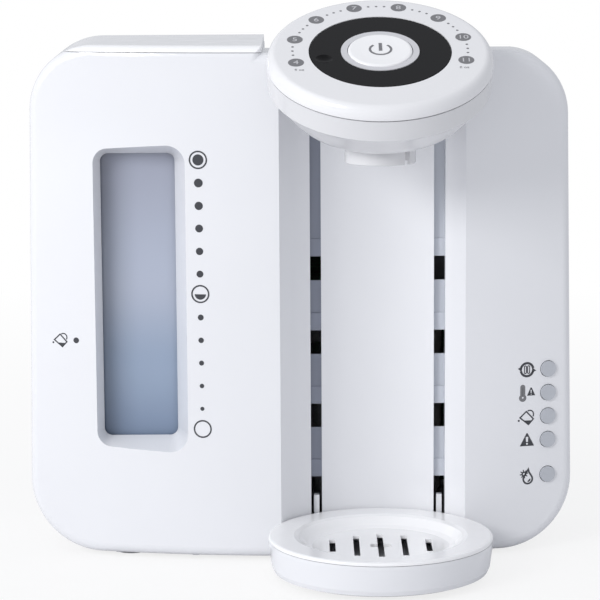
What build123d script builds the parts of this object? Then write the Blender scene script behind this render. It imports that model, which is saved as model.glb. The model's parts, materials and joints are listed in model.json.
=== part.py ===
"""Countertop machine that makes up baby formula: water tank, filter, pump, boiler, dosing head and drip tray.

Millimetres. +Z is up, the front faces -Y, and the origin is the middle of the footprint on the table.
"""
import os
from math import asin, cos, radians, sin, sqrt, tan

from build123d import *

os.makedirs("parts", exist_ok=True)

# ---------------------------------------------------------------- driving dimensions
# Casing
casing_depth = 111.5  # from the crown of the bowed front to the flat back
casing_top = 288.0  # shoulders above the table
foot_height = 2.0
base_half_width = 155.76  # where the leaning flanks would meet the table
flank_draft = 0.94  # degrees each flank leans in
front_bow = 470.0  # radius of the front in plan
top_corner = 37.0
bottom_corner = 41.0
front_edge = 6.0
rear_edge = 9.0
roof_sweep = 70.0  # radius where the right-hand roof falls to the back
wall = 2.6
parting = 48.0  # joint of the two shells, behind the crown
base_plate_margin = 2.76  # of the flat underside inside the corners
base_thickness = 3.0
base_boss_height = 15.0
base_recess = 2.1  # for a screw head under the base
seam_screw_heights = (140.0, 225.0)
seam_boss = 14.0
foot_radius = 9.0
foot_plug = 5.0
foot_margin = 14.0  # of a foot inside the flat underside
foot_front = 20.0
foot_back = 16.0

# Running gaps
slip = 0.3  # between bodies that move
seat_gap = 0.3  # under a piece that rests on another body
shaft_gap = 0.1
pilot_gap = 0.05  # round a screw's thread

# Bottle bay
bay_x = 44.0
bay_lead = 30.5  # the bay's axis stands this far ahead of the crown
bay_radius = 63.2
bay_height = 258.0
groove_offset = 35.1  # centre of each groove from the bay's axis
groove_width = 6.2
groove_floor = 58.5  # from the bay's axis
groove_bottom = 10.0
groove_top_gap = 4.0  # under the bay's ceiling
hook_hole_top = 43.1  # upper edge of the lowest hole
hook_hole_height = 13.8
low_hole_height = 22.8  # of the lowest one, which runs down behind the tray's rim
hook_hole_pitch = 42.6
hook_holes = 4
groove_pad_height = 10.0
groove_pad = 0.8

# Window in front of the tank
window_margin = 64.56  # from the left flank's foot to the middle
window_width = 42.0
window_bottom = 68.6
window_top = 230.6
window_corner = 4.5
window_setback = 25.3  # plane of the inner edge, behind the crown
window_draft = 17.5
window_frame = 2.0

# Water tank and lid
lid_end = -20.0
lid_rise = 4.0
lid_skirt = 9.0
lid_skirt_wall = 1.8
tank_margin = 34.76  # of the tank inside the left flank's foot
tank_right = -24.5
tank_setback = 27.2
tank_depth = 77.8
tank_corner = 10.0
tank_wall = 2.0
tank_floor = 2.5
shelf_top = 52.0
shelf_thickness = 2.5
chassis_thickness = 2.0
outlet_x = -85.0
outlet_setback = 66.0
outlet_radius = 9.5
outlet_drop = 8.0
valve_radius = 7.5
valve_bore = 5.0
valve_seat = 3.2
valve_height = 15.0
valve_web = 1.5  # thickness of the valve's ends
valve_stem = 1.2
valve_disc = 2.0
valve_spring_radius = 3.2
dock_radius = 13.0
dock_wall = 1.7
dock_flange = 18.0
dock_depth = 12.0
dock_floor_thickness = 2.0
seal_rise = 1.0  # of the seal above the valve's mouth
seal_height = 3.0
sensor_width = 12.0
sensor_low = 10.0
sensor_length = 140.0

# Head, turned about its own tilted axis; heights are measured along that axis from the dial's face
head_tilt = 25.4
dial_height = 290.9
dial_radius = 38.3
dial_thickness = 3.6
dial_eye = 21.5  # inner radius of the dial
dial_sleeve_wall = 2.2
dial_sleeve_depth = 9.0
dimple_orbit = 31.5
dimple_angle = 195.0
dimple_ball = 9.0
dimple_depth = 1.3
scale_radius = 56.5
seam_radius = 61.3
seam_drop = 7.4
seam_gap = 0.8
band_drop = 19.9
band_inset = 0.5  # of the band's foot inside the seam
bowl_shoulder = 2.2
bowl_heel = 2.8
bowl_radius = 45.5  # of the bowl's flat underside
bowl_drop = 36.8
head_wall = 2.4
cover_floor = 2.2
cover_skin = 2.4
cover_boss_drop = 12.0
tower_floor = 13.5
cap_depth = 4.0
button_crown = 2.0
button_skin = 1.6
button_spring_radius = 5.0
button_radius = 17.5
button_rise = 1.0
button_travel = 0.9
tower_wall = 3.1
ring_depth = 2.0
ring_rise = 0.3
board_thickness = 1.6
stem_radius = 2.2
clip_width = 4.0
clip_thickness = 1.8
hose_drop_y = 0.8
head_board_drop = 19.0
head_board_radius = 36.0
head_screw_orbit = 42.3
board_post_orbit = 33.0
head_fixings = (30.0, 150.0, 270.0)
neck_post_offset = 22.0
neck_post_y = 8.0
guard_radius = 19.3
guard_wall = 1.8
guard_bottom = 230.6
guard_slit = 4.0
guard_slit_angle = 48.0  # to the right of the front
spout_radius = 3.0
spout_offset = 7.0
spout_bottom = 234.0
block_width = 30.0
block_depth = 22.0
block_height = 7.0

# Drip tray
tray_radius = 62.2
tray_foot_radius = 57.0
tray_bottom = 3.5
tray_top = 21.2
tray_wall = 2.2
hook_width = 3.1
hook_top = 33.0
hook_depth = 3.1
hook_rise = 12.1  # height of the arm where it passes the hole
hook_reach = 7.0  # of the sloping arm behind the groove's floor
hook_ear_bottom = 12.0
plate_rim = 1.9
plate_well_radius = 38.0
plate_well = 17.0
plate_thickness = 2.0
slot_width = 3.4
slot_pitch = 13.4
slot_lengths = (26.0, 44.0, 49.0, 44.0, 26.0)
finger_width = 11.5  # of the hole that lifts the plate
finger_depth = 7.5
finger_corner = 2.5

# Front panel
lens_margin = 14.8  # of the buttons inside the right flank's foot
lens_heights = (92.7, 79.1, 65.4)
filter_button_height = 106.4
clean_button_height = 45.1
lens_radius = 4.5
lens_rise = 1.0
lens_flange = 5.8
flange_thickness = 1.2
panel_travel = 0.6
panel_board_depth = 12.4
panel_board_width = 22.0
panel_board_height = 86.0
panel_board_middle = 76.0
panel_post_spread = 38.0
panel_board_shift = -3.0
panel_post_x = -11.0

# Switches and screws
switch_side = 6.0
switch_height = 3.5
switch_stem = 0.8
screw_thread = 1.4
screw_head = 2.8
screw_head_height = 2.0
screw_hole = 1.7
screw_sink = 2.0  # of a head below the face it is let into
boss_radius = 4.5
spring_wire = 0.35
spring_turns = 5

# Boards on the back wall
control_board_left = -12.0
control_board_bottom = 118.0
control_board_width = 74.0
power_board_margin = 17.76  # of the board inside the right flank's foot
power_board_bottom = 24.0
power_board_width = 62.0
wall_board_height = 96.0
board_inset = 4.0
board_post = 3.0
board_stand_off = 8.0
transformer_inset = 18.0
transformer_width = 34.0
transformer_depth = 28.0
transformer_height = 38.0

# Filter
filter_x = 92.0
filter_setback = 77.0
filter_radius = 25.0
filter_wall = 2.5
filter_bottom = 150.0
filter_top = 240.0
filter_ports = (-12.0, 8.0)
filter_lug = 20.0
cartridge_radius = 20.5
cartridge_height = 72.0
cap_height = 6.0
cap_skirt = 12.0
cap_seal_depth = 5.0
cap_seal_height = 2.4
cap_seal_bite = 1.2
grip_length = 30.0
grip_width = 5.0
grip_height = 7.0
door_left = 60.0
door_right = 122.0
door_setback = 57.0
door_drop = 42.0  # hinge below the roof
hinge_radius = 3.0
hinge_stand_off = 1.0
pin_radius = 1.2
knuckle = 9.0

# Pump, boiler and valve
pump_setback = 37.4
pump_height = 24.0
motor_left = -110.0
motor_length = 35.0
motor_radius = 14.0
pump_radius = 16.0
pump_length = 15.0
impeller_radius = 11.5
impeller_length = 7.0
pump_shaft = 1.5
pump_wall = 3.0
outlet_rise = 6.0  # of the pump's outlet above its axis
vane_thickness = 1.2
vanes = 6
boiler_x = 22.0
boiler_setback = 64.4
boiler_radius = 24.0
boiler_bottom = 12.0
boiler_height = 100.0
boiler_flange = 27.0
boiler_flange_drop = 10.0
boiler_flange_thickness = 4.0
thermostat_radius = 8.0
thermostat_height = 6.0
diverter_setback = 60.0
diverter_side = 26.0
diverter_bottom = 238.0
diverter_height = 24.0
diverter_port = 16.0  # of the side outlet above the valve's underside
boiler_inlet = 26.0
coil_radius = 10.0
coil_height = 14.0
armature_radius = 3.0
armature_length = 16.0
armature_spring_radius = 2.2
hose_radius = 3.2
hose_run_back = 16.0  # of the long hose, ahead of the casing's back
hose_run_z = 20.0
hose_bore = 2.0
hose_hole = 5.2  # where a hose passes a wall
hose_low = 18.0  # height of the run from the tank to the pump
intake_run = 18.0  # of the same hose past the pump
hot_rise = 56.0  # of the hot hose above the boiler before it slants
bend_tight = 7.5
bend_wide = 13.0
bend_open = 17.0
barb_radius = 1.9
barb_length = 6.0

# Back wall
gland_margin = 4.0  # beside the power board
gland_height = 19.5
gland_radius = 6.0
gland_flange = 8.0
gland_bore = 3.5
vent_x = 25.0
vent_heights = (60.0, 250.0)
vent_slots = 9
vent_pitch = 8.0
vent_length = 30.0
vent_width = 3.0

# ---------------------------------------------------------------- places worked out from them
base_plate_reach = base_half_width - bottom_corner - base_plate_margin  # half the flat underside
foot_reach = base_plate_reach - foot_margin
window_x = window_margin - base_half_width
tank_left = tank_margin - base_half_width
lens_x = base_half_width - lens_margin
power_board_left = base_half_width - power_board_margin - power_board_width
gland_x = power_board_left - gland_margin
crown_y = (bay_lead + tray_radius - casing_depth) / 2
back_y = crown_y + casing_depth
split_y = crown_y + parting
bay_y = crown_y - bay_lead
inner_back_y = back_y - wall
lid_top = casing_top + lid_rise
base_top = foot_height + base_thickness
roof_y = back_y - roof_sweep
roof_z = casing_top - roof_sweep
tank_front = crown_y + tank_setback
tank_back = tank_front + tank_depth
tank_base = shelf_top + seat_gap
outlet_y = crown_y + outlet_setback
hose_run_y = back_y - hose_run_back
filter_y = crown_y + filter_setback
pump_y = crown_y + pump_setback
boiler_y = crown_y + boiler_setback
diverter_y = crown_y + diverter_setback
groove_back = bay_y + groove_floor
groove_top = bay_height - groove_top_gap
far = 400.0  # longer than anything here

tilt = radians(head_tilt)
head_dir = Vector(0, -sin(tilt), cos(tilt))
head_origin = Vector(bay_x, bay_y, dial_height)
head_axis = Axis(head_origin, head_dir)
head_plane = Plane(origin=head_origin, x_dir=(1, 0, 0), z_dir=head_dir)
head_section = Plane(origin=head_origin, x_dir=(1, 0, 0), z_dir=(0, -cos(tilt), -sin(tilt)))
bay_axis = Axis((bay_x, bay_y, 0), (0, 0, 1))
bay_section = Plane(origin=(bay_x, bay_y, 0), x_dir=(1, 0, 0), z_dir=(0, -1, 0))
tower_radius = dial_eye - slip


def half_width(z):
    """Half the casing's width at a height."""
    return base_half_width - z * tan(radians(flank_draft))


def front_y(x):
    """The bowed front at a distance from the middle."""
    return crown_y + front_bow - sqrt(front_bow**2 - x**2)


def head_point(x, y, z):
    """A point given in the head's own tilted frame."""
    return head_plane.from_local_coords(Vector(x, y, z))


def ring_places(radius):
    """The three fixing places round the head at a radius, in the head's own plane."""
    return [(radius * cos(radians(angle)), radius * sin(radians(angle))) for angle in head_fixings]


def face_plane(x, z, depth=0.0):
    """Plane on the bowed front, facing out, set back by a depth along its normal."""
    lean = asin(x / front_bow)
    normal = Vector(sin(lean), -cos(lean), 0)
    origin = Vector(x, front_y(x), z) - normal * depth
    return Plane(origin=origin, x_dir=(cos(lean), sin(lean), 0), z_dir=normal)


def finish(builder, name):
    """Label a finished piece and write it."""
    builder.part.label = name
    export_step(builder.part, f"parts/{name}.step")


# ---------------------------------------------------------------- shared forms
def casing_form(inset):
    """The whole casing with its lid as one solid, drawn in by an inset."""
    with BuildPart() as form:
        with BuildSketch(Plane.XZ) as outline:
            with BuildLine():
                Polyline(
                    (-half_width(foot_height), foot_height),
                    (half_width(foot_height), foot_height),
                    (half_width(casing_top), casing_top),
                    (lid_end, casing_top),
                    (lid_end, lid_top),
                    (-half_width(lid_top), lid_top),
                    close=True,
                )
            make_face()
            fillet(outline.vertices().group_by(Axis.Y)[0], bottom_corner)
            shoulders = outline.vertices().filter_by_position(Axis.Y, casing_top - 1, lid_top + 1)
            fillet([shoulders.sort_by(Axis.X)[0], shoulders.sort_by(Axis.X)[-1]], top_corner)
            if inset:
                offset(amount=-inset, kind=Kind.INTERSECTION)
        extrude(amount=far, both=True)
        with BuildSketch(Plane.XY):
            reach = base_half_width + front_edge
            with BuildLine():
                bow = ThreePointArc((-reach, front_y(reach)), (0, crown_y), (reach, front_y(reach)))
                Polyline(bow @ 1, (reach, back_y), (-reach, back_y), bow @ 0)
            make_face()
            if inset:
                offset(amount=-inset, kind=Kind.INTERSECTION)
        extrude(amount=far, mode=Mode.INTERSECT)
        fillet(form.faces().sort_by(Axis.Y)[0].edges(), front_edge - inset)
        fillet(form.faces().sort_by(Axis.Y)[-1].edges(), rear_edge - inset)
        with BuildSketch(Plane.YZ.offset(lid_end - inset)):
            sweep = roof_sweep - inset
            with BuildLine():
                fall = CenterArc((roof_y, roof_z), sweep, 0, 90)
                Polyline(fall @ 1, (roof_y, far), (far, far), (far, roof_z), fall @ 0)
            make_face()
        extrude(amount=far, mode=Mode.SUBTRACT)
    return form.part


def slab(low, high):
    """A box between two corners."""
    with BuildPart() as block:
        with Locations([tuple((a + b) / 2 for a, b in zip(low, high))]):
            Box(*(b - a for a, b in zip(low, high)))
    return block.part


def base_form(gap):
    """What closes the flat underside, drawn in from the walls by a gap."""
    reach = base_plate_reach - gap
    with BuildPart() as form:
        with BuildSketch(Plane.XY.offset(foot_height)):
            with BuildLine():
                bow = ThreePointArc(
                    (-reach, front_y(reach) + wall + gap),
                    (0, crown_y + wall + gap),
                    (reach, front_y(reach) + wall + gap),
                )
                Polyline(bow @ 1, (reach, inner_back_y - gap), (-reach, inner_back_y - gap), bow @ 0)
            make_face()
        extrude(amount=base_thickness)
    return form.part


def rod(start, end, radius, bore=0.0):
    """A round bar or tube between two points."""
    span = Vector(end) - Vector(start)
    with BuildPart() as bar:
        with BuildSketch(Plane(origin=start, z_dir=span)):
            Circle(radius)
            if bore:
                Circle(bore, mode=Mode.SUBTRACT)
        extrude(amount=span.length)
    return bar.part


def turned(points, plane, axis):
    """A solid turned from a closed half profile."""
    with BuildPart() as body:
        with BuildSketch(plane):
            with BuildLine():
                Polyline(*points, close=True)
            make_face()
        revolve(axis=axis)
    return body.part


def bowl_curve(gap):
    """The curve of the head's bowl in half section, grown by a gap."""
    rim = seam_radius - band_inset + gap
    return Bezier(
        (rim, -band_drop),
        (rim - bowl_shoulder, -band_drop - bowl_shoulder / 2 - gap),
        (bowl_radius + bowl_heel + gap, -bowl_drop - gap),
        (bowl_radius, -bowl_drop - gap),
    )


def hook_hole(x, z, height):
    """A hole through a groove's floor, under a height, its sill sloping down to the back."""
    with BuildPart() as hole:
        with BuildSketch(Plane.YZ.offset(x - groove_width / 2)):
            with BuildLine():
                Polyline(
                    (groove_back - wall / 4, z),
                    (groove_back + 2 * wall, z),
                    (groove_back + 2 * wall, z - height - 2 * wall),
                    (groove_back - wall / 4, z - height + wall / 4),
                    close=True,
                )
            make_face()
        extrude(amount=groove_width)
    return hole.part


def screw(seat, direction, length):
    """A pan-head screw: its head stands out of the seat, its thread runs along the direction."""
    heading = Vector(direction).normalized()
    seat = Vector(seat)
    head = rod(seat - heading * screw_head_height, seat, screw_head)
    with BuildPart() as body:
        add(head)
        add(rod(seat, seat + heading * length, screw_thread))
        with BuildSketch(Plane(origin=seat - heading * screw_head_height, z_dir=heading)):
            Rectangle(screw_head, screw_head / 4)
            Rectangle(screw_head / 4, screw_head)
        extrude(amount=screw_head_height / 2, mode=Mode.SUBTRACT)
    return body.part


def coil_spring(base, direction, length, radius, wire, turns):
    """A helical compression spring that starts at its base."""
    heading = Vector(direction).normalized()
    height = length - 2 * wire
    start = Vector(base) + heading * wire
    with BuildPart() as spring:
        with BuildLine():
            path = Helix(pitch=height / turns, height=height, radius=radius, center=start, direction=heading)
        with BuildSketch(Plane(origin=path @ 0, z_dir=path % 0)):
            Circle(wire)
        sweep(path=path)
    return spring.part


def hose(points, radii):
    """A silicone hose along straight runs joined by tangent arcs."""
    with BuildPart() as tube:
        with BuildLine():
            path = FilletPolyline(*points, radius=radii)
        with BuildSketch(Plane(origin=path @ 0, z_dir=path % 0)):
            Circle(hose_radius)
            Circle(hose_bore, mode=Mode.SUBTRACT)
        sweep(path=path)
    return tube.part


def tact_switch(plane):
    """A small square switch with a round stem, standing on a plane."""
    with BuildPart() as switch:
        with BuildSketch(plane):
            Rectangle(switch_side, switch_side)
        extrude(amount=switch_height)
        with BuildSketch(plane):
            Circle(switch_side / 4)
        extrude(amount=switch_height + switch_stem)
    return switch.part


casing_outer = casing_form(0)
casing_inner = casing_form(wall)
casing_lining = casing_form(wall + slip)

# Screw places
screw_reach = base_plate_reach - 8
boss_bite = 0.6  # how far a boss runs into the wall beside it
base_screw_places = [
    (x, front_y(x) + wall + boss_radius - boss_bite) for x in (-screw_reach, bay_x - screw_reach, screw_reach)
]
base_screw_places += [(x, inner_back_y - boss_radius + boss_bite) for x in (-screw_reach, bay_x, screw_reach)]
seam_screw_places = [
    (side * (half_width(z) - wall - boss_radius + boss_bite), z)
    for z in seam_screw_heights
    for side in (-1, 1)
]
foot_places = [(x, y) for x in (-foot_reach, foot_reach) for y in (foot_front, back_y - foot_back)]
hook_holes_z = [hook_hole_top + i * hook_hole_pitch for i in range(hook_holes)]
groove_xs = (bay_x - groove_offset, bay_x + groove_offset)
panel_board_back = panel_board_depth + board_thickness

board_y = inner_back_y - board_stand_off - board_thickness
# Each board's left, bottom, width and height
control_board_place = (control_board_left, control_board_bottom, control_board_width, wall_board_height)
power_board_place = (power_board_left, power_board_bottom, power_board_width, wall_board_height)


def board_corners(place):
    """The four screw places of a board."""
    left, bottom, width, height = place
    return [
        (x, z)
        for x in (left + board_inset, left + width - board_inset)
        for z in (bottom + board_inset, bottom + height - board_inset)
    ]


board_posts = board_corners(control_board_place) + board_corners(power_board_place)

# ---------------------------------------------------------------- casing
with BuildPart() as head_solid:
    with BuildSketch(head_section):
        with BuildLine():
            bowl = bowl_curve(slip)
            Polyline(
                bowl @ 0,
                (seam_radius + slip, -band_drop),
                (seam_radius + slip, 0),
                (0, 0),
                (0, -bowl_drop - slip),
                bowl @ 1,
            )
        make_face()
    revolve(axis=head_axis)
bay_lining = rod((bay_x, bay_y, foot_height), (bay_x, bay_y, bay_height + wall), bay_radius + wall)
bay_space = rod((bay_x, bay_y, -1), (bay_x, bay_y, bay_height), bay_radius)
base_opening = base_form(0)
window_plane = Plane(
    origin=(window_x, crown_y + window_setback, (window_bottom + window_top) / 2),
    x_dir=(1, 0, 0),
    z_dir=(0, -1, 0),
)

with BuildPart() as window_core:
    with BuildSketch(window_plane):
        RectangleRounded(window_width, window_top - window_bottom, window_corner)
    extrude(amount=window_setback + 2, taper=-window_draft)

with BuildPart() as window_sleeve:
    with BuildSketch(window_plane):
        RectangleRounded(
            window_width + 2 * window_frame,
            window_top - window_bottom + 2 * window_frame,
            window_corner + window_frame,
        )
    extrude(amount=window_setback + 2, taper=-window_draft)
    add(casing_outer, mode=Mode.INTERSECT)

with BuildPart() as bay_wall:
    add(bay_lining)
    for x in groove_xs:
        add(
            slab(
                (x - groove_width / 2 - wall, bay_y, groove_bottom - wall),
                (x + groove_width / 2 + wall, groove_back + wall, groove_top + wall),
            )
        )
    add(casing_outer, mode=Mode.INTERSECT)

with BuildPart() as bay_liner:
    add(bay_wall.part)
    add(bay_space, mode=Mode.SUBTRACT)
    for x in groove_xs:
        add(
            slab(
                (x - groove_width / 2, bay_y, groove_bottom),
                (x + groove_width / 2, groove_back, groove_top),
            ),
            mode=Mode.SUBTRACT,
        )
        for z in hook_holes_z:
            add(
                slab(
                    (x - groove_width / 2, groove_back - groove_pad, z),
                    (x + groove_width / 2, groove_back + wall / 2, z + groove_pad_height),
                )
            )
            height = hook_hole_height if z > hook_hole_top else low_hole_height
            add(hook_hole(x, z, height), mode=Mode.SUBTRACT)
    add(head_solid.part, mode=Mode.SUBTRACT)
    for x in (bay_x - neck_post_offset, bay_x + neck_post_offset):
        add(
            rod((x, neck_post_y, bay_height - 1), (x, neck_post_y, bay_height + 2 * wall), screw_hole),
            mode=Mode.SUBTRACT,
        )
finish(bay_liner, "bay_liner")

with BuildPart() as front_shell:
    add(casing_outer)
    add(casing_inner, mode=Mode.SUBTRACT)
    add(base_opening, mode=Mode.SUBTRACT)
    add(slab((-far, -far, casing_top), (lid_end, far, far)), mode=Mode.SUBTRACT)
    add(window_sleeve.part)
    for x, y in base_screw_places[:3]:
        add(rod((x, y, base_top), (x, y, base_top + base_boss_height), boss_radius, screw_thread + pilot_gap))
    for z in (panel_board_middle - panel_post_spread, panel_board_middle + panel_post_spread):
        post = face_plane(lens_x, z, wall / 2)
        tip = face_plane(lens_x, z, panel_board_depth)
        add(
            rod(
                post.from_local_coords(Vector(panel_post_x, 0, 0)),
                tip.from_local_coords(Vector(panel_post_x, 0, 0)),
                board_post,
            )
        )
        add(
            rod(
                tip.from_local_coords(Vector(panel_post_x, 0, 0)),
                post.from_local_coords(Vector(panel_post_x, 0, -wall)),
                screw_thread + pilot_gap,
            ),
            mode=Mode.SUBTRACT,
        )
    add(slab((-far, split_y, -far), (far, far, far)), mode=Mode.SUBTRACT)
    for x, z in seam_screw_places:
        add(rod((x, split_y, z), (x, split_y - seam_boss, z), boss_radius, screw_thread + pilot_gap))
    add(window_core.part, mode=Mode.SUBTRACT)
    add(bay_wall.part, mode=Mode.SUBTRACT)
    add(bay_space, mode=Mode.SUBTRACT)
    add(head_solid.part, mode=Mode.SUBTRACT)
    for z in lens_heights + (filter_button_height, clean_button_height):
        with BuildSketch(face_plane(lens_x, z, 2 * wall)):
            Circle(lens_radius + slip)
        extrude(amount=4 * wall, mode=Mode.SUBTRACT)
finish(front_shell, "front_shell")

# Hinge of the filter door, on the outside of the falling roof
hinge_angle = asin((roof_sweep - door_drop) / roof_sweep)
hinge_y = roof_y + (roof_sweep + hinge_stand_off) * cos(hinge_angle)
hinge_z = roof_z + (roof_sweep + hinge_stand_off) * sin(hinge_angle)
door_front = crown_y + door_setback
door_middle = (door_left + door_right) / 2
door_knuckles = (door_middle - knuckle - slip, door_middle + knuckle + slip)
shell_knuckles = (door_middle - 2 * (knuckle + slip), door_middle, door_middle + 2 * (knuckle + slip))
hinge_reach = 2.5 * knuckle + 2 * slip


def hinge_bar(x, radius, length):
    """A round bar on the door's hinge line."""
    return rod((x - length / 2, hinge_y, hinge_z), (x + length / 2, hinge_y, hinge_z), radius)


with BuildPart() as rear_shell:
    add(casing_outer)
    add(casing_inner, mode=Mode.SUBTRACT)
    add(base_opening, mode=Mode.SUBTRACT)
    add(slab((-far, -far, casing_top), (lid_end, far, far)), mode=Mode.SUBTRACT)
    for x, y in base_screw_places[3:]:
        add(rod((x, y, base_top), (x, y, base_top + base_boss_height), boss_radius))
    for x, z in board_posts:
        add(rod((x, inner_back_y + wall / 2, z), (x, board_y + board_thickness, z), board_post))
    for x, z in seam_screw_places:
        add(rod((x, split_y, z), (x, back_y - wall / 2, z), boss_radius))
    for z in (filter_bottom + filter_lug, filter_top - filter_lug):
        add(
            slab(
                (filter_x - filter_lug / 2, filter_y, z - filter_lug / 4),
                (filter_x + filter_lug / 2, back_y - wall / 2, z + filter_lug / 4),
            )
        )
    for x, y in base_screw_places[3:]:
        add(
            rod((x, y, 0), (x, y, base_top + base_boss_height), screw_thread + pilot_gap),
            mode=Mode.SUBTRACT,
        )
    for x, z in board_posts:
        add(
            rod((x, inner_back_y, z), (x, board_y, z), screw_thread + pilot_gap),
            mode=Mode.SUBTRACT,
        )
    for x, z in seam_screw_places:
        add(rod((x, split_y, z), (x, back_y + 1, z), screw_thread + shaft_gap), mode=Mode.SUBTRACT)
        add(rod((x, split_y + wall, z), (x, back_y + 1, z), screw_head + slip), mode=Mode.SUBTRACT)
    add(
        rod((filter_x, filter_y, filter_bottom), (filter_x, filter_y, filter_top), filter_radius),
        mode=Mode.SUBTRACT,
    )
    add(slab((door_left, door_front, hinge_z), (door_right, far, far)), mode=Mode.SUBTRACT)
    for x in shell_knuckles:
        add(hinge_bar(x, hinge_radius, knuckle))
    for x in door_knuckles:
        add(hinge_bar(x, hinge_radius + slip, knuckle + 2 * slip), mode=Mode.SUBTRACT)
    add(hinge_bar(door_middle, pin_radius, 2 * hinge_reach), mode=Mode.SUBTRACT)
    with BuildSketch(Plane.XZ.offset(-back_y - 1)):
        with Locations([(vent_x, z) for z in vent_heights]):
            with GridLocations(vent_pitch, 0, vent_slots, 1):
                SlotOverall(vent_length, vent_width, rotation=90)
    extrude(amount=2 * wall, mode=Mode.SUBTRACT)
    add(
        rod((gland_x, back_y + 1, gland_height), (gland_x, inner_back_y - 1, gland_height), gland_radius),
        mode=Mode.SUBTRACT,
    )
    add(slab((-far, -far, -far), (far, split_y + seam_gap, far)), mode=Mode.SUBTRACT)
finish(rear_shell, "rear_shell")

with BuildPart() as base_plate:
    add(base_form(slip))
    add(casing_outer, mode=Mode.INTERSECT)
    add(rod((bay_x, bay_y, 0), (bay_x, bay_y, far), bay_radius + wall + slip), mode=Mode.SUBTRACT)
    for angle in (90, 210, 330):
        x = boiler_x + 2 * boiler_radius / 3 * cos(radians(angle))
        y = boiler_y + 2 * boiler_radius / 3 * sin(radians(angle))
        add(rod((x, y, base_top), (x, y, boiler_bottom), boss_radius))
    for x in (motor_left + motor_length / 4, motor_left + 3 * motor_length / 4):
        add(
            slab(
                (x - wall, pump_y - motor_radius / 2, base_top),
                (x + wall, pump_y + motor_radius / 2, pump_height - motor_radius / 2),
            )
        )
    add(
        rod((motor_left, pump_y, pump_height), (0, pump_y, pump_height), motor_radius),
        mode=Mode.SUBTRACT,
    )
    for x, y in base_screw_places:
        add(rod((x, y, 0), (x, y, base_top + 1), screw_hole), mode=Mode.SUBTRACT)
        add(rod((x, y, 0), (x, y, foot_height + base_recess), screw_head + slip), mode=Mode.SUBTRACT)
    for x, y in foot_places:
        add(rod((x, y, 0), (x, y, base_top + 1), foot_plug), mode=Mode.SUBTRACT)
finish(base_plate, "base_plate")

with BuildPart() as rubber_feet:
    for x, y in foot_places:
        add(rod((x, y, 0), (x, y, foot_height), foot_radius))
        add(rod((x, y, foot_height), (x, y, base_top), foot_plug))
finish(rubber_feet, "rubber_feet")

with BuildPart() as base_screws:
    for x, y in base_screw_places:
        add(screw((x, y, foot_height + base_recess), (0, 0, 1), base_thickness + base_boss_height / 2))
finish(base_screws, "base_screws")

with BuildPart() as shell_screws:
    for x, z in seam_screw_places:
        add(screw((x, split_y + wall, z), (0, -1, 0), seam_boss - wall))
finish(shell_screws, "shell_screws")

with BuildPart() as cord_gland:
    add(rod((gland_x, back_y, gland_height), (gland_x, inner_back_y, gland_height), gland_radius))
    add(
        rod(
            (gland_x, inner_back_y, gland_height),
            (gland_x, inner_back_y - wall, gland_height),
            gland_flange,
        )
    )
    add(
        rod((gland_x, far, gland_height), (gland_x, 0, gland_height), gland_bore),
        mode=Mode.SUBTRACT,
    )
finish(cord_gland, "cord_gland")

# ---------------------------------------------------------------- water tank and what it stands on
tank_mid_x = (tank_left + tank_right) / 2
tank_mid_y = (tank_front + tank_back) / 2
tank_plan = Plane(origin=(tank_mid_x, tank_mid_y, 0))

with BuildPart() as tank_chassis:
    add(casing_lining)
    add(slab((-far, -far, base_top), (lid_end, far, far)), mode=Mode.INTERSECT)
    add(slab((-far, -far, shelf_top), (lid_end - chassis_thickness, far, far)), mode=Mode.SUBTRACT)
    add(
        slab(
            (-far, -far, 0),
            (lid_end - chassis_thickness, far, shelf_top - shelf_thickness),
        ),
        mode=Mode.SUBTRACT,
    )
    add(
        rod((outlet_x, outlet_y, 0), (outlet_x, outlet_y, far), dock_radius),
        mode=Mode.SUBTRACT,
    )
    add(
        rod((lid_end - far, hose_run_y, hose_run_z), (lid_end + far, hose_run_y, hose_run_z), hose_hole),
        mode=Mode.SUBTRACT,
    )
finish(tank_chassis, "tank_chassis")

dock_floor = shelf_top - dock_depth
valve_low = tank_base - outlet_drop
dock_low = dock_floor - dock_floor_thickness
with BuildPart() as tank_dock:
    add(rod((outlet_x, outlet_y, dock_low), (outlet_x, outlet_y, shelf_top - slip), dock_radius))
    under_shelf = shelf_top - shelf_thickness
    add(
        rod(
            (outlet_x, outlet_y, under_shelf - dock_floor_thickness),
            (outlet_x, outlet_y, under_shelf),
            dock_flange,
        )
    )
    add(
        rod((outlet_x, outlet_y, dock_floor), (outlet_x, outlet_y, far), dock_radius - dock_wall),
        mode=Mode.SUBTRACT,
    )
    pin_top = valve_low - slip
    add(rod((outlet_x, outlet_y, dock_floor), (outlet_x, outlet_y, pin_top), valve_stem))
    port_x = outlet_x + dock_radius / 2
    add(rod((port_x, outlet_y, dock_low), (port_x, outlet_y, dock_low - barb_length), barb_radius))
    add(
        rod((port_x, outlet_y, dock_floor), (port_x, outlet_y, 0), hose_bore / 2),
        mode=Mode.SUBTRACT,
    )
finish(tank_dock, "tank_dock")

seal_low = valve_low + seal_rise
seal_top = seal_low + seal_height
with BuildPart() as dock_seal:
    add(rod((outlet_x, outlet_y, seal_low), (outlet_x, outlet_y, seal_top), dock_radius - dock_wall))
    add(
        rod((outlet_x, outlet_y, 0), (outlet_x, outlet_y, far), outlet_radius + slip),
        mode=Mode.SUBTRACT,
    )
finish(dock_seal, "dock_seal")

with BuildPart() as level_sensor:
    add(
        slab(
            (lid_end, tank_mid_y - sensor_width / 2, shelf_top + sensor_low),
            (
                lid_end + board_thickness,
                tank_mid_y + sensor_width / 2,
                shelf_top + sensor_low + sensor_length,
            ),
        )
    )
finish(level_sensor, "level_sensor")

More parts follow.
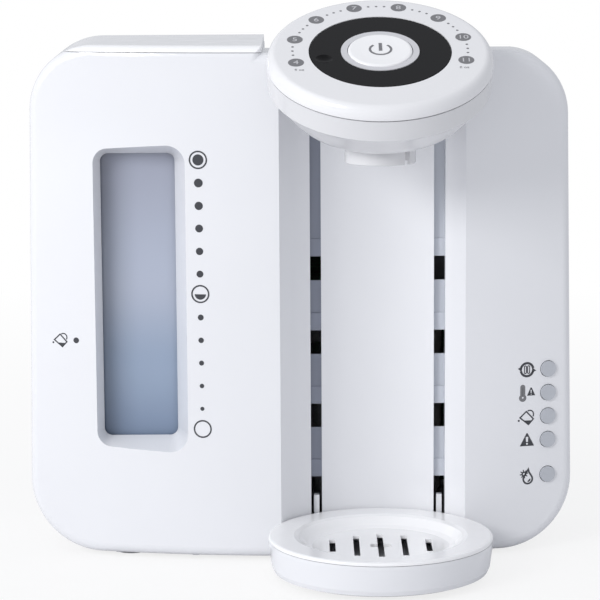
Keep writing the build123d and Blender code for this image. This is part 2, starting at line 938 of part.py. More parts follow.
with BuildPart() as water_tank:
    with BuildSketch(tank_plan.offset(tank_base)):
        RectangleRounded(tank_right - tank_left, tank_depth, tank_corner)
    extrude(amount=casing_top - tank_base)
    with BuildSketch(tank_plan.offset(tank_base + tank_floor)):
        RectangleRounded(
            tank_right - tank_left - 2 * tank_wall, tank_depth - 2 * tank_wall, tank_corner - tank_wall
        )
    extrude(amount=far, mode=Mode.SUBTRACT)
    add(rod((outlet_x, outlet_y, valve_low), (outlet_x, outlet_y, tank_base + 1), outlet_radius))
    add(
        rod((outlet_x, outlet_y, 0), (outlet_x, outlet_y, far), valve_radius),
        mode=Mode.SUBTRACT,
    )
finish(water_tank, "water_tank")

with BuildPart() as tank_valve_body:
    add(rod((outlet_x, outlet_y, valve_low), (outlet_x, outlet_y, valve_low + valve_height), valve_radius))
    add(
        rod(
            (outlet_x, outlet_y, valve_low + valve_web),
            (outlet_x, outlet_y, valve_low + valve_height - valve_web),
            valve_bore,
        ),
        mode=Mode.SUBTRACT,
    )
    add(
        rod((outlet_x, outlet_y, 0), (outlet_x, outlet_y, valve_low + 2 * valve_web), valve_seat),
        mode=Mode.SUBTRACT,
    )
    with BuildSketch(Plane.XY.offset(valve_low + valve_height - 2 * valve_web)):
        with Locations([(outlet_x, outlet_y)]):
            Circle(valve_stem + slip)
            with PolarLocations(valve_bore - valve_stem, 4):
                Circle(valve_stem - shaft_gap)
    extrude(amount=3 * valve_web, mode=Mode.SUBTRACT)
finish(tank_valve_body, "tank_valve_body")

disc_low = valve_low + valve_web + seat_gap
disc_top = disc_low + valve_disc
with BuildPart() as tank_valve_plunger:
    add(rod((outlet_x, outlet_y, valve_low), (outlet_x, outlet_y, valve_low + valve_height), valve_stem))
    add(rod((outlet_x, outlet_y, disc_low), (outlet_x, outlet_y, disc_top), valve_bore - slip))
finish(tank_valve_plunger, "tank_valve_plunger")

with BuildPart() as tank_valve_spring:
    add(
        coil_spring(
            (outlet_x, outlet_y, disc_top),
            (0, 0, 1),
            valve_low + valve_height - valve_web - disc_top,
            valve_spring_radius,
            spring_wire,
            spring_turns,
        )
    )
finish(tank_valve_spring, "tank_valve_spring")

with BuildPart() as tank_lid:
    add(casing_outer)
    add(
        slab((-far, -far, casing_top + seat_gap), (lid_end - slip, far, far)),
        mode=Mode.INTERSECT,
    )
finish(tank_lid, "tank_lid")

with BuildPart() as lid_frame:
    with BuildSketch(tank_plan.offset(casing_top + seat_gap)):
        RectangleRounded(
            tank_right - tank_left - 2 * (tank_wall + slip),
            tank_depth - 2 * (tank_wall + slip),
            tank_corner - tank_wall - slip,
        )
        offset(amount=-lid_skirt_wall, mode=Mode.SUBTRACT)
    extrude(amount=-lid_skirt)
finish(lid_frame, "lid_frame")

# ---------------------------------------------------------------- head
cover_pocket = dial_thickness + slip
cover_under = cover_pocket + cover_floor
bowl_floor = bowl_drop - head_wall
block_mid = -bowl_floor + block_height / 2
# The nozzle's hose climbs over the bay from the first place and turns into the head's plane at the second
nozzle_climb = (bay_x, diverter_y, diverter_bottom + diverter_port)
nozzle_bend = tuple(head_point(0, (hose_drop_y - bay_y + block_mid * sin(tilt)) / cos(tilt), block_mid))

with BuildPart() as head_cover:
    with BuildSketch(head_section):
        with BuildLine():
            shoulder = Bezier(
                (scale_radius, 0),
                ((scale_radius + seam_radius) / 2, 0),
                (seam_radius, -seam_drop / 3),
                (seam_radius, -seam_drop),
            )
            Polyline(
                shoulder @ 1,
                (seam_radius - cover_skin, -seam_drop),
                (seam_radius - 1.25 * cover_skin, -seam_drop * 0.7),
                (scale_radius - cover_skin / 2, -cover_skin),
                (dial_radius + cover_skin, -cover_skin),
                (dial_radius + cover_skin, -cover_under),
                (dial_eye + dial_sleeve_wall + slip, -cover_under),
                (dial_eye + dial_sleeve_wall + slip, -cover_pocket),
                (dial_radius + slip, -cover_pocket),
                (dial_radius + slip, 0),
                shoulder @ 0,
            )
        make_face()
    revolve(axis=head_axis)
    with BuildSketch(head_plane.offset(-cover_boss_drop)):
        with Locations(ring_places(head_screw_orbit)):
            Circle(boss_radius - 1)
            Circle(screw_thread + pilot_gap, mode=Mode.SUBTRACT)
    extrude(amount=cover_boss_drop - cover_skin + 0.5)
finish(head_cover, "head_cover")

nozzle_drop = bowl_drop / cos(tilt)  # straight down from the dial's centre to the bowl's underside
with BuildPart() as head_housing:
    with BuildSketch(head_section):
        with BuildLine():
            bowl = bowl_curve(0)
            Polyline(
                bowl @ 1,
                (0, -bowl_drop),
                (0, -bowl_floor),
                (bowl_radius - head_wall / 4, -bowl_floor),
                (seam_radius - 3.75 * head_wall, -band_drop - 2.5 * head_wall),
                (seam_radius - 2.2 * head_wall, -band_drop - head_wall / 2),
                (seam_radius - band_inset - head_wall, -band_drop + head_wall),
                (seam_radius - band_inset - head_wall, -seam_drop - seam_gap),
                (seam_radius - band_inset / 2, -seam_drop - seam_gap),
                bowl @ 0,
            )
        make_face()
    revolve(axis=head_axis)
    with BuildSketch(head_plane.offset(-bowl_drop + head_wall / 2)):
        with Locations(ring_places(head_screw_orbit)):
            Circle(boss_radius - 1)
    extrude(amount=bowl_drop - head_wall / 2 - cover_boss_drop)
    with BuildSketch(head_plane.offset(-bowl_drop + head_wall / 2)):
        with Locations(ring_places(board_post_orbit)):
            Circle(board_post)
    extrude(amount=bowl_drop - head_wall / 2 - head_board_drop - board_thickness)
    with BuildSketch(head_plane.offset(-bowl_drop - 1)):
        with Locations(ring_places(head_screw_orbit)):
            Circle(screw_thread + shaft_gap)
    extrude(amount=bowl_drop, mode=Mode.SUBTRACT)
    with BuildSketch(head_plane.offset(-bowl_drop - 1)):
        with Locations(ring_places(head_screw_orbit)):
            Circle(screw_head + pilot_gap)
    extrude(amount=1 + screw_head_height + screw_sink, mode=Mode.SUBTRACT)
    with BuildSketch(head_plane.offset(-bowl_floor)):
        with Locations(ring_places(board_post_orbit)):
            Circle(screw_thread + pilot_gap)
    extrude(amount=bowl_drop, mode=Mode.SUBTRACT)
    for x in (bay_x - neck_post_offset, bay_x + neck_post_offset):
        post_top = dial_height - nozzle_drop + (neck_post_y - bay_y) * tan(tilt) + head_wall / 2
        add(rod((x, neck_post_y, bay_height + wall), (x, neck_post_y, post_top), boss_radius - 0.5))
        add(
            rod((x, neck_post_y, bay_height), (x, neck_post_y, bay_height + 15), screw_thread + pilot_gap),
            mode=Mode.SUBTRACT,
        )
    for x in (bay_x - spout_offset, bay_x + spout_offset):
        add(rod((x, bay_y, 0), (x, bay_y, dial_height - bowl_floor), spout_radius + slip), mode=Mode.SUBTRACT)
    add(rod(nozzle_climb, nozzle_bend, hose_hole), mode=Mode.SUBTRACT)
finish(head_housing, "head_housing")

with BuildPart() as dial:
    add(
        turned(
            [
                (dial_eye, 0),
                (dial_radius - 0.4, 0),
                (dial_radius, -0.4),
                (dial_radius, -dial_thickness),
                (dial_eye + dial_sleeve_wall, -dial_thickness),
                (dial_eye + dial_sleeve_wall, -dial_sleeve_depth),
                (dial_eye, -dial_sleeve_depth),
            ],
            head_section,
            head_axis,
        )
    )
    dimple = head_point(
        dimple_orbit * cos(radians(dimple_angle)),
        dimple_orbit * sin(radians(dimple_angle)),
        dimple_ball - dimple_depth,
    )
    with Locations([dimple]):
        Sphere(dimple_ball, mode=Mode.SUBTRACT)
finish(dial, "dial")

with BuildPart() as dial_clip:
    with BuildSketch(head_plane.offset(-cover_under - slip)):
        Circle(dial_eye + dial_sleeve_wall + clip_width)
        Circle(dial_eye + dial_sleeve_wall, mode=Mode.SUBTRACT)
        with Locations([(0, -dial_eye - dial_sleeve_wall)]):
            Rectangle(2 * clip_width, 3 * clip_width, mode=Mode.SUBTRACT)
    extrude(amount=-clip_thickness)
finish(dial_clip, "dial_clip")

with BuildPart() as button_tower:
    add(
        turned(
            [
                (tower_radius - tower_wall, -ring_depth),
                (tower_radius, -ring_depth),
                (tower_radius, -head_board_drop),
                (tower_radius - tower_wall / 2, -head_board_drop),
                (tower_radius - tower_wall / 2, -tower_floor),
                (stem_radius + slip, -tower_floor),
                (stem_radius + slip, -tower_floor + tower_wall / 2),
                (tower_radius - tower_wall, -tower_floor + tower_wall / 2),
            ],
            head_section,
            head_axis,
        )
    )
finish(button_tower, "button_tower")

with BuildPart() as light_ring:
    with BuildSketch(head_plane.offset(-ring_depth)):
        Circle(tower_radius)
        Circle(button_radius + slip, mode=Mode.SUBTRACT)
    extrude(amount=ring_depth + ring_rise)
finish(light_ring, "light_ring")

switch_top = head_board_drop - switch_height - switch_stem
cap_hollow = cap_depth - button_crown
with BuildPart() as start_button:
    add(
        turned(
            [
                (0, button_rise - 0.5),
                (button_radius * 0.6, button_rise - 0.3),
                (button_radius - 1.4, button_rise),
                (button_radius - 0.4, button_rise - 0.3),
                (button_radius, button_rise - 1.0),
                (button_radius, -cap_depth),
                (button_radius - button_skin, -cap_depth),
                (button_radius - button_skin, -cap_depth + cap_hollow),
                (stem_radius, -cap_depth + cap_hollow),
                (stem_radius, -switch_top + button_travel),
                (0, -switch_top + button_travel),
            ],
            head_section,
            head_axis,
        )
    )
finish(start_button, "start_button")

with BuildPart() as start_button_spring:
    add(
        coil_spring(
            head_point(0, 0, -tower_floor + tower_wall / 2),
            head_dir,
            tower_floor - tower_wall / 2 - cap_depth + cap_hollow,
            button_spring_radius,
            spring_wire,
            spring_turns,
        )
    )
finish(start_button_spring, "start_button_spring")

with BuildPart() as head_board:
    with BuildSketch(head_plane.offset(-head_board_drop - board_thickness)):
        Circle(head_board_radius)
        with Locations(ring_places(board_post_orbit)):
            Circle(screw_thread + shaft_gap, mode=Mode.SUBTRACT)
    extrude(amount=board_thickness)
finish(head_board, "head_board")

with BuildPart() as head_screws:
    for x, y in ring_places(head_screw_orbit):
        seat = head_point(x, y, -bowl_drop + screw_head_height + screw_sink)
        add(screw(seat, head_dir, bowl_drop - cover_boss_drop))
    for x in (bay_x - neck_post_offset, bay_x + neck_post_offset):
        add(screw((x, neck_post_y, bay_height), (0, 0, 1), 14))
finish(head_screws, "head_screws")

spout_back = -bowl_drop * tan(tilt)  # where the bay's axis meets the bowl's floor, in the head's frame
with BuildPart() as nozzle_block:
    with BuildSketch(head_plane.offset(-bowl_floor)):
        with Locations([(0, spout_back)]):
            RectangleRounded(block_width, block_depth, 3)
    extrude(amount=block_height)
    for x in (bay_x - spout_offset, bay_x + spout_offset):
        add(
            rod(
                (x, bay_y, spout_bottom),
                (x, bay_y, dial_height - nozzle_drop + block_height),
                spout_radius,
                spout_radius / 2,
            )
        )
    port = head_point(0, spout_back + block_depth / 2, -bowl_floor + block_height / 2)
    add(rod(port, port + head_plane.y_dir * barb_length, barb_radius, hose_bore / 2))
finish(nozzle_block, "nozzle_block")

with BuildPart() as nozzle_guard:
    add(rod((bay_x, bay_y, guard_bottom), (bay_x, bay_y, dial_height), guard_radius))
    fillet(nozzle_guard.faces().sort_by(Axis.Z)[0].edges(), guard_wall / 2)
    add(
        rod((bay_x, bay_y, 0), (bay_x, bay_y, dial_height), guard_radius - guard_wall),
        mode=Mode.SUBTRACT,
    )
    with BuildSketch(Plane(origin=(bay_x, bay_y, 0), z_dir=(0, 0, 1))):
        with PolarLocations(guard_radius, 1, guard_slit_angle - 90):
            Rectangle(guard_radius, guard_slit)
    extrude(amount=dial_height, mode=Mode.SUBTRACT)
    with BuildSketch(head_plane.offset(-bowl_drop)):
        Circle(far)
    extrude(amount=far, mode=Mode.SUBTRACT)
    with BuildSketch(head_plane.offset(-bowl_drop)):
        with Locations([(0, spout_back)]):
            Ellipse(guard_radius - guard_wall / 2, (guard_radius - guard_wall / 2) / cos(tilt))
    extrude(amount=-guard_wall)
    for x in (bay_x - spout_offset, bay_x + spout_offset):
        add(rod((x, bay_y, 0), (x, bay_y, dial_height), spout_radius + slip), mode=Mode.SUBTRACT)
finish(nozzle_guard, "nozzle_guard")

# ---------------------------------------------------------------- drip tray
with BuildPart() as drip_cup:
    add(
        turned(
            [
                (0, tray_bottom),
                (tray_foot_radius, tray_bottom),
                (tray_foot_radius + 2.4, tray_bottom + 0.9),
                (tray_radius - 1.6, tray_bottom + 3.6),
                (tray_radius, tray_top - 2),
                (tray_radius, tray_top),
                (tray_radius - 3.0, tray_top),
                (tray_radius - 3.0 - 1.6, tray_bottom + tray_wall + 3),
                (tray_foot_radius - 1.6, tray_bottom + tray_wall),
                (0, tray_bottom + tray_wall),
            ],
            bay_section,
            bay_axis,
        )
    )
    for x in groove_xs:
        with BuildSketch(Plane.YZ.offset(x - hook_width / 2)):
            tab_back = groove_back - slip - 1
            arm_low = hook_hole_top - low_hole_height + slip
            with BuildLine():
                Polyline(
                    (tab_back - 5.2, hook_ear_bottom),
                    (tab_back, hook_ear_bottom),
                    (tab_back, arm_low + groove_back - tab_back),
                    (groove_back + hook_reach, arm_low - hook_reach),
                    (groove_back + hook_reach, arm_low - hook_reach + hook_rise),
                    (groove_back + arm_low + hook_rise - hook_top, hook_top),
                    (tab_back - hook_depth, hook_top),
                    (tab_back - hook_depth, tray_top - 1),
                    (tab_back - 5.2, tray_top - 1),
                    close=True,
                )
            make_face()
        extrude(amount=hook_width)
finish(drip_cup, "drip_cup")

plate_under = tray_top + seat_gap
rim_top = plate_under + plate_rim
with BuildPart() as drip_plate:
    add(
        turned(
            [
                (0, plate_well - plate_thickness),
                (plate_well_radius - 1, plate_well - plate_thickness),
                (plate_well_radius + 6, plate_under - 0.6),
                (tray_radius - 8, plate_under),
                (tray_radius, plate_under),
                (tray_radius, rim_top - 0.9),
                (tray_radius - 0.4, rim_top - 0.3),
                (tray_radius - 1.4, rim_top),
                (tray_radius - 14.0, rim_top - 0.2),
                (plate_well_radius + 7.5, rim_top - 1.0),
                (plate_well_radius + 3.0, plate_well + 1.4),
                (plate_well_radius, plate_well),
                (0, plate_well),
            ],
            bay_section,
            bay_axis,
        )
    )
    with BuildSketch(Plane(origin=(bay_x, bay_y, plate_well - 2 * plate_thickness))):
        for i, length in enumerate(slot_lengths):
            with Locations([((i - (len(slot_lengths) - 1) / 2) * slot_pitch, 0)]):
                Rectangle(slot_width, length)
        RectangleRounded(finger_width, finger_depth, finger_corner)
    extrude(amount=tray_top, mode=Mode.SUBTRACT)
finish(drip_plate, "drip_plate")

# ---------------------------------------------------------------- front panel
with BuildPart() as indicator_lenses:
    for z in lens_heights:
        with BuildSketch(face_plane(lens_x, z, wall + slip)):
            Circle(lens_radius)
        extrude(amount=wall + slip + lens_rise)
        with BuildSketch(face_plane(lens_x, z, wall + slip)):
            Circle(lens_flange)
        extrude(amount=-flange_thickness)
finish(indicator_lenses, "indicator_lenses")


def panel_button(height, name):
    """A round cap that presses a switch behind the panel."""
    with BuildPart() as cap:
        with BuildSketch(face_plane(lens_x, height, wall + slip)):
            Circle(lens_radius)
        extrude(amount=wall + slip + lens_rise)
        with BuildSketch(face_plane(lens_x, height, wall + slip)):
            Circle(lens_flange)
        extrude(amount=-flange_thickness)
        with BuildSketch(face_plane(lens_x, height, wall + slip)):
            Circle(stem_radius)
        stem = panel_board_depth - switch_height - switch_stem - panel_travel
        extrude(amount=-(stem - wall - slip))
    finish(cap, name)


panel_button(filter_button_height, "filter_reset_button")
panel_button(clean_button_height, "clean_button")

panel_board_plane = face_plane(lens_x, panel_board_middle, panel_board_back)
with BuildPart() as indicator_board:
    with BuildSketch(panel_board_plane):
        with Locations([(panel_board_shift, 0)]):
            Rectangle(panel_board_width, panel_board_height)
        with Locations([(panel_post_x, -panel_post_spread), (panel_post_x, panel_post_spread)]):
            Circle(screw_thread + shaft_gap, mode=Mode.SUBTRACT)
    extrude(amount=board_thickness)
finish(indicator_board, "indicator_board")

with BuildPart() as tact_switches:
    add(tact_switch(head_plane.offset(-head_board_drop)))
    for z in (filter_button_height, clean_button_height):
        add(tact_switch(face_plane(lens_x, z, panel_board_depth)))
finish(tact_switches, "tact_switches")


# ---------------------------------------------------------------- boards on the back wall
def wall_board(place, name):
    """A circuit board with a hole at each corner."""
    left, bottom, width, height = place
    with BuildPart() as board:
        add(slab((left, board_y, bottom), (left + width, board_y + board_thickness, bottom + height)))
        for x, z in board_corners(place):
            add(rod((x, 0, z), (x, far, z), screw_thread + shaft_gap), mode=Mode.SUBTRACT)
    finish(board, name)


wall_board(control_board_place, "control_board")
wall_board(power_board_place, "power_board")

with BuildPart() as transformer:
    left = power_board_place[0] + transformer_inset
    bottom = power_board_place[1] + transformer_inset
    add(
        slab(
            (left, board_y - transformer_depth, bottom),
            (left + transformer_width, board_y, bottom + transformer_height),
        )
    )
    fillet(transformer.edges().filter_by(Axis.Y), wall)
finish(transformer, "transformer")

with BuildPart() as board_screws:
    for x, z in board_posts:
        add(screw((x, board_y, z), (0, 1, 0), board_stand_off))
    for z in (-panel_post_spread, panel_post_spread):
        seat = panel_board_plane.from_local_coords(Vector(panel_post_x, z, 0))
        add(screw(seat, panel_board_plane.z_dir, board_stand_off))
    for x, y in ring_places(board_post_orbit):
        add(screw(head_point(x, y, -head_board_drop), -head_dir, board_stand_off))
finish(board_screws, "board_screws")

# ---------------------------------------------------------------- filter
cartridge_base = filter_bottom + filter_wall
with BuildPart() as filter_housing:
    add(rod((filter_x, filter_y, filter_bottom), (filter_x, filter_y, filter_top), filter_radius))
    add(
        rod(
            (filter_x, filter_y, cartridge_base),
            (filter_x, filter_y, far),
            filter_radius - filter_wall,
        ),
        mode=Mode.SUBTRACT,
    )
    for x in filter_ports:
        add(
            rod(
                (filter_x + x, filter_y, filter_bottom),
                (filter_x + x, filter_y, filter_bottom - barb_length),
                barb_radius,
            )
        )
        add(
            rod((filter_x + x, filter_y, 0), (filter_x + x, filter_y, cartridge_base), hose_bore / 2),
            mode=Mode.SUBTRACT,
        )
finish(filter_housing, "filter_housing")

with BuildPart() as filter_cartridge:
    add(
        rod(
            (filter_x, filter_y, cartridge_base),
            (filter_x, filter_y, cartridge_base + cartridge_height),
            cartridge_radius,
        )
    )
    fillet(filter_cartridge.edges().filter_by(GeomType.CIRCLE), 2)
finish(filter_cartridge, "filter_cartridge")

cap_base = filter_top + seat_gap
skirt_radius = filter_radius - filter_wall - slip
cap_seal_top = cap_base - cap_seal_depth
cap_seal_low = cap_seal_top - cap_seal_height
with BuildPart() as filter_cap:
    add(rod((filter_x, filter_y, cap_base), (filter_x, filter_y, cap_base + cap_height), filter_radius))
    fillet(filter_cap.edges().group_by(Axis.Z)[-1], 1.5)
    add(rod((filter_x, filter_y, cap_base - cap_skirt), (filter_x, filter_y, cap_base), skirt_radius))
    add(
        rod(
            (filter_x, filter_y, cap_base - cap_skirt),
            (filter_x, filter_y, cap_base + cap_height / 2),
            skirt_radius - filter_wall,
        ),
        mode=Mode.SUBTRACT,
    )
    add(
        rod(
            (filter_x, filter_y, cap_seal_low),
            (filter_x, filter_y, cap_seal_top),
            filter_radius,
            skirt_radius - cap_seal_bite,
        ),
        mode=Mode.SUBTRACT,
    )
    add(
        slab(
            (filter_x - grip_length / 2, filter_y - grip_width / 2, cap_base + cap_height - 0.5),
            (filter_x + grip_length / 2, filter_y + grip_width / 2, cap_base + cap_height + grip_height),
        )
    )
finish(filter_cap, "filter_cap")

with BuildPart() as cap_seal:
    add(
        rod(
            (filter_x, filter_y, cap_seal_low),
            (filter_x, filter_y, cap_seal_top),
            skirt_radius + shaft_gap,
            skirt_radius - cap_seal_bite,
        )
    )
finish(cap_seal, "cap_seal")

with BuildPart() as filter_door:
    add(casing_outer)
    add(casing_inner, mode=Mode.SUBTRACT)
    add(
        slab((door_left + slip, door_front + slip, hinge_z + slip), (door_right - slip, far, far)),
        mode=Mode.INTERSECT,
    )
    for x in shell_knuckles:
        add(hinge_bar(x, hinge_radius + slip, knuckle + 2 * slip), mode=Mode.SUBTRACT)
    for x in door_knuckles:
        add(hinge_bar(x, hinge_radius, knuckle))
    add(hinge_bar(door_middle, pin_radius + shaft_gap, 2 * hinge_reach), mode=Mode.SUBTRACT)
finish(filter_door, "filter_door")

with BuildPart() as door_pin:
    add(hinge_bar(door_middle, pin_radius, 2 * hinge_reach))
finish(door_pin, "door_pin")

# ---------------------------------------------------------------- pump, boiler and diverter
motor_right = motor_left + motor_length
pump_right = motor_right + pump_length
pump_x = motor_right + pump_length / 2
impeller_left = motor_right + pump_wall + 1
with BuildPart() as pump_motor:
    add(rod((motor_left, pump_y, pump_height), (motor_right, pump_y, pump_height), motor_radius))
    fillet(pump_motor.edges().sort_by(Axis.X)[0], 2)
    add(
        rod(
            (motor_right - impeller_length, pump_y, pump_height),
            (motor_right, pump_y, pump_height),
            pump_shaft + shaft_gap,
        ),
        mode=Mode.SUBTRACT,
    )
finish(pump_motor, "pump_motor")

with BuildPart() as pump_head:
    add(rod((motor_right, pump_y, pump_height), (pump_right, pump_y, pump_height), pump_radius))
    add(
        rod(
            (pump_x, pump_y, pump_height + outlet_rise),
            (pump_x, pump_y + pump_radius + barb_length, pump_height + outlet_rise),
            barb_radius,
        )
    )
    add(rod((pump_right, pump_y, pump_height), (pump_right + barb_length, pump_y, pump_height), barb_radius))
    add(
        rod(
            (motor_right + pump_wall, pump_y, pump_height),
            (pump_right - pump_wall, pump_y, pump_height),
            impeller_radius + slip,
        ),
        mode=Mode.SUBTRACT,
    )
    add(
        rod((motor_right, pump_y, pump_height), (impeller_left, pump_y, pump_height), pump_shaft + slip),
        mode=Mode.SUBTRACT,
    )
    add(rod((pump_x, pump_y, pump_height), (0, pump_y, pump_height), hose_bore / 2), mode=Mode.SUBTRACT)
    add(
        rod(
            (pump_x, pump_y, pump_height + outlet_rise),
            (pump_x, far, pump_height + outlet_rise),
            hose_bore / 2,
        ),
        mode=Mode.SUBTRACT,
    )
finish(pump_head, "pump_head")

with BuildPart() as pump_impeller:
    vane_plane = Plane(origin=(impeller_left, pump_y, pump_height), z_dir=(1, 0, 0))
    with BuildSketch(vane_plane):
        Circle(impeller_radius)
    extrude(amount=impeller_length / 4)
    with BuildSketch(vane_plane):
        with PolarLocations(impeller_radius / 2, vanes):
            Rectangle(impeller_radius - vane_thickness, vane_thickness)
        Circle(2 * pump_shaft)
    extrude(amount=impeller_length)
    add(
        rod(
            (motor_right - impeller_length + slip, pump_y, pump_height),
            (impeller_left, pump_y, pump_height),
            pump_shaft,
        )
    )
finish(pump_impeller, "pump_impeller")

boiler_top = boiler_bottom + boiler_height
with BuildPart() as boiler:
    add(rod((boiler_x, boiler_y, boiler_bottom), (boiler_x, boiler_y, boiler_top), boiler_radius))
    fillet(boiler.edges().filter_by(GeomType.CIRCLE), 4)
    flange_top = boiler_top - boiler_flange_drop
    flange_low = flange_top - boiler_flange_thickness
    add(rod((boiler_x, boiler_y, flange_low), (boiler_x, boiler_y, flange_top), boiler_flange))
    add(rod((boiler_x, boiler_y, boiler_top), (boiler_x, boiler_y, boiler_top + barb_length), barb_radius))
    add(
        rod(
            (boiler_x + boiler_radius - 1, boiler_y, boiler_inlet),
            (boiler_x + boiler_radius + barb_length, boiler_y, boiler_inlet),
            barb_radius,
        )
    )
finish(boiler, "boiler")

with BuildPart() as thermostat:
    add(
        rod(
            (boiler_x - boiler_radius - thermostat_height, boiler_y, boiler_bottom + boiler_height / 2),
            (boiler_x, boiler_y, boiler_bottom + boiler_height / 2),
            thermostat_radius,
        )
    )
    add(rod((boiler_x, boiler_y, 0), (boiler_x, boiler_y, far), boiler_radius), mode=Mode.SUBTRACT)
finish(thermostat, "thermostat")

diverter_left = lid_end
diverter_right = diverter_left + diverter_side
diverter_mid = (diverter_left + diverter_right) / 2
diverter_top = diverter_bottom + diverter_height
coil_top = diverter_top + coil_height
bore_low = diverter_bottom + diverter_height / 2
with BuildPart() as diverter_body:
    add(
        slab(
            (diverter_left, diverter_y - diverter_side / 2, diverter_bottom),
            (diverter_right, diverter_y + diverter_side / 2, diverter_top),
        )
    )
    add(rod((diverter_mid, diverter_y, diverter_top), (diverter_mid, diverter_y, coil_top), coil_radius))
    add(
        rod(
            (diverter_mid, diverter_y, diverter_bottom),
            (diverter_mid, diverter_y, diverter_bottom - barb_length),
            barb_radius,
        )
    )
    add(
        rod(
            (diverter_right, diverter_y, diverter_bottom + diverter_port),
            (diverter_right + barb_length, diverter_y, diverter_bottom + diverter_port),
            barb_radius,
        )
    )
    add(
        rod(
            (diverter_mid, diverter_y, bore_low),
            (diverter_mid, diverter_y, coil_top - wall),
            armature_radius + slip,
        ),
        mode=Mode.SUBTRACT,
    )
finish(diverter_body, "diverter_body")

armature_low = bore_low + seat_gap
armature_top = armature_low + armature_length
with BuildPart() as diverter_plunger:
    add(
        rod(
            (diverter_mid, diverter_y, armature_low),
            (diverter_mid, diverter_y, armature_top),
            armature_radius,
        )
    )
finish(diverter_plunger, "diverter_plunger")

with BuildPart() as diverter_spring:
    add(
        coil_spring(
            (diverter_mid, diverter_y, armature_top),
            (0, 0, 1),
            coil_top - wall - armature_top,
            armature_spring_radius,
            spring_wire,
            spring_turns,
        )
    )
finish(diverter_spring, "diverter_spring")

# ---------------------------------------------------------------- hoses
dock_port = (port_x, outlet_y, dock_low - slip / 2)
with BuildPart() as hose_tank:
    add(
        hose(
            [
                dock_port,
                (port_x, outlet_y, hose_low),
                (pump_right + intake_run, outlet_y, hose_low),
                (pump_right + intake_run, pump_y, pump_height),
                (pump_right + slip / 2, pump_y, pump_height),
            ],
            [bend_tight, bend_tight, bend_tight],
        )
    )
finish(hose_tank, "hose_tank")

with BuildPart() as hose_filter:
    inlet_x = filter_x + filter_ports[0]
    add(
        hose(
            [
                (pump_x, pump_y + pump_radius, pump_height + outlet_rise),
                (pump_x, hose_run_y, pump_height + outlet_rise),
                (pump_x + 2 * bend_open, hose_run_y, hose_run_z),
                (inlet_x, hose_run_y, hose_run_z - 2),
                (inlet_x, filter_y, hose_run_z + 2 * bend_open),
                (inlet_x, filter_y, filter_bottom - slip / 2),
            ],
            [bend_tight, bend_open, bend_tight, bend_open],
        )
    )
finish(hose_filter, "hose_filter")

with BuildPart() as hose_boiler:
    leave_x = filter_x + filter_ports[1]
    boiler_run_x = boiler_x + boiler_flange + bend_open
    add(
        hose(
            [
                (leave_x, filter_y, filter_bottom - slip / 2),
                (leave_x, filter_y, boiler_top),
                (boiler_run_x, boiler_y - bend_tight, boiler_top - bend_open),
                (boiler_run_x, boiler_y, boiler_inlet),
                (boiler_x + boiler_radius + slip / 2, boiler_y, boiler_inlet),
            ],
            [bend_wide, bend_wide, bend_tight],
        )
    )
finish(hose_boiler, "hose_boiler")

with BuildPart() as hose_hot:
    add(
        hose(
            [
                (boiler_x, boiler_y, boiler_top + slip / 2),
                (boiler_x, boiler_y, boiler_top + hot_rise),
                (diverter_mid, diverter_y, boiler_top + 1.5 * hot_rise),
                (diverter_mid, diverter_y, diverter_bottom - slip / 2),
            ],
            [bend_open, bend_open],
        )
    )
finish(hose_hot, "hose_hot")

with BuildPart() as hose_nozzle:
    block_port = port + head_plane.y_dir * (slip / 2)
    add(
        hose(
            [
                (diverter_right + slip / 2, diverter_y, diverter_bottom + diverter_port),
                nozzle_climb,
                nozzle_bend,
                tuple(block_port),
            ],
            [bend_wide, bend_tight],
        )
    )
finish(hose_nozzle, "hose_nozzle")
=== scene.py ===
"""Looks of the baby formula maker: materials, prints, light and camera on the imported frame.

Blender works in metres here. The prints are drawn in millimetres, and other sizes are millimetres times mm.
"""
import json
from math import asin, cos, degrees, pi, radians, sin

import bmesh
import bpy
from mathutils import Matrix, Vector
from mathutils.geometry import tessellate_polygon


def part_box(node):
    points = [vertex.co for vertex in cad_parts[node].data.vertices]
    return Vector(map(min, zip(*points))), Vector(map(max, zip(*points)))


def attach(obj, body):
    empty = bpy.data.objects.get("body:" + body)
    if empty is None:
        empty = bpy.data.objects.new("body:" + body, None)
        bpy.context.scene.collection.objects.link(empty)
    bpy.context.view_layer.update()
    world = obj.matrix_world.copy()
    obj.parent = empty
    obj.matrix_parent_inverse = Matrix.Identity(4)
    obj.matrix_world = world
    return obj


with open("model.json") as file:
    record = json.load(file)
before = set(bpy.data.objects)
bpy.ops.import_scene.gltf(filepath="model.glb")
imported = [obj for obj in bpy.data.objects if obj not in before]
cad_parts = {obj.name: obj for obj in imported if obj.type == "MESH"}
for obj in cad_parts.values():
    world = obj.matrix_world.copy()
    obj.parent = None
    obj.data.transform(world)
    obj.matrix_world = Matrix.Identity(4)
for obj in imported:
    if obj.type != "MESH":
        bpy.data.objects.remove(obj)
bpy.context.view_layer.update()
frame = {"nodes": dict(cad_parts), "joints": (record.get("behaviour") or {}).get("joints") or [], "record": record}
nodes = frame["nodes"]
joints = {joint["name"]: joint for joint in frame["joints"]}
mm = 0.001

# ---------------------------------------------------------------- sizes
# Camera
camera_distance = 1460.5 * mm  # ahead of the crown of the bowed front
camera_height = 389.5 * mm
camera_pitch = 9.3
camera_roll = 0.35
camera_lens = 159.0
sensor_width = 36.0

# The frame's own places
front_bow = 470.0 * mm
crown_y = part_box("front_shell")[0].y
head_centre = Vector(joints["dial_turn"]["pos_m"])
head_out = -Vector(joints["dial_turn"]["axis"]).normalized()
bay_x = head_centre.x
bay_y = head_centre.y

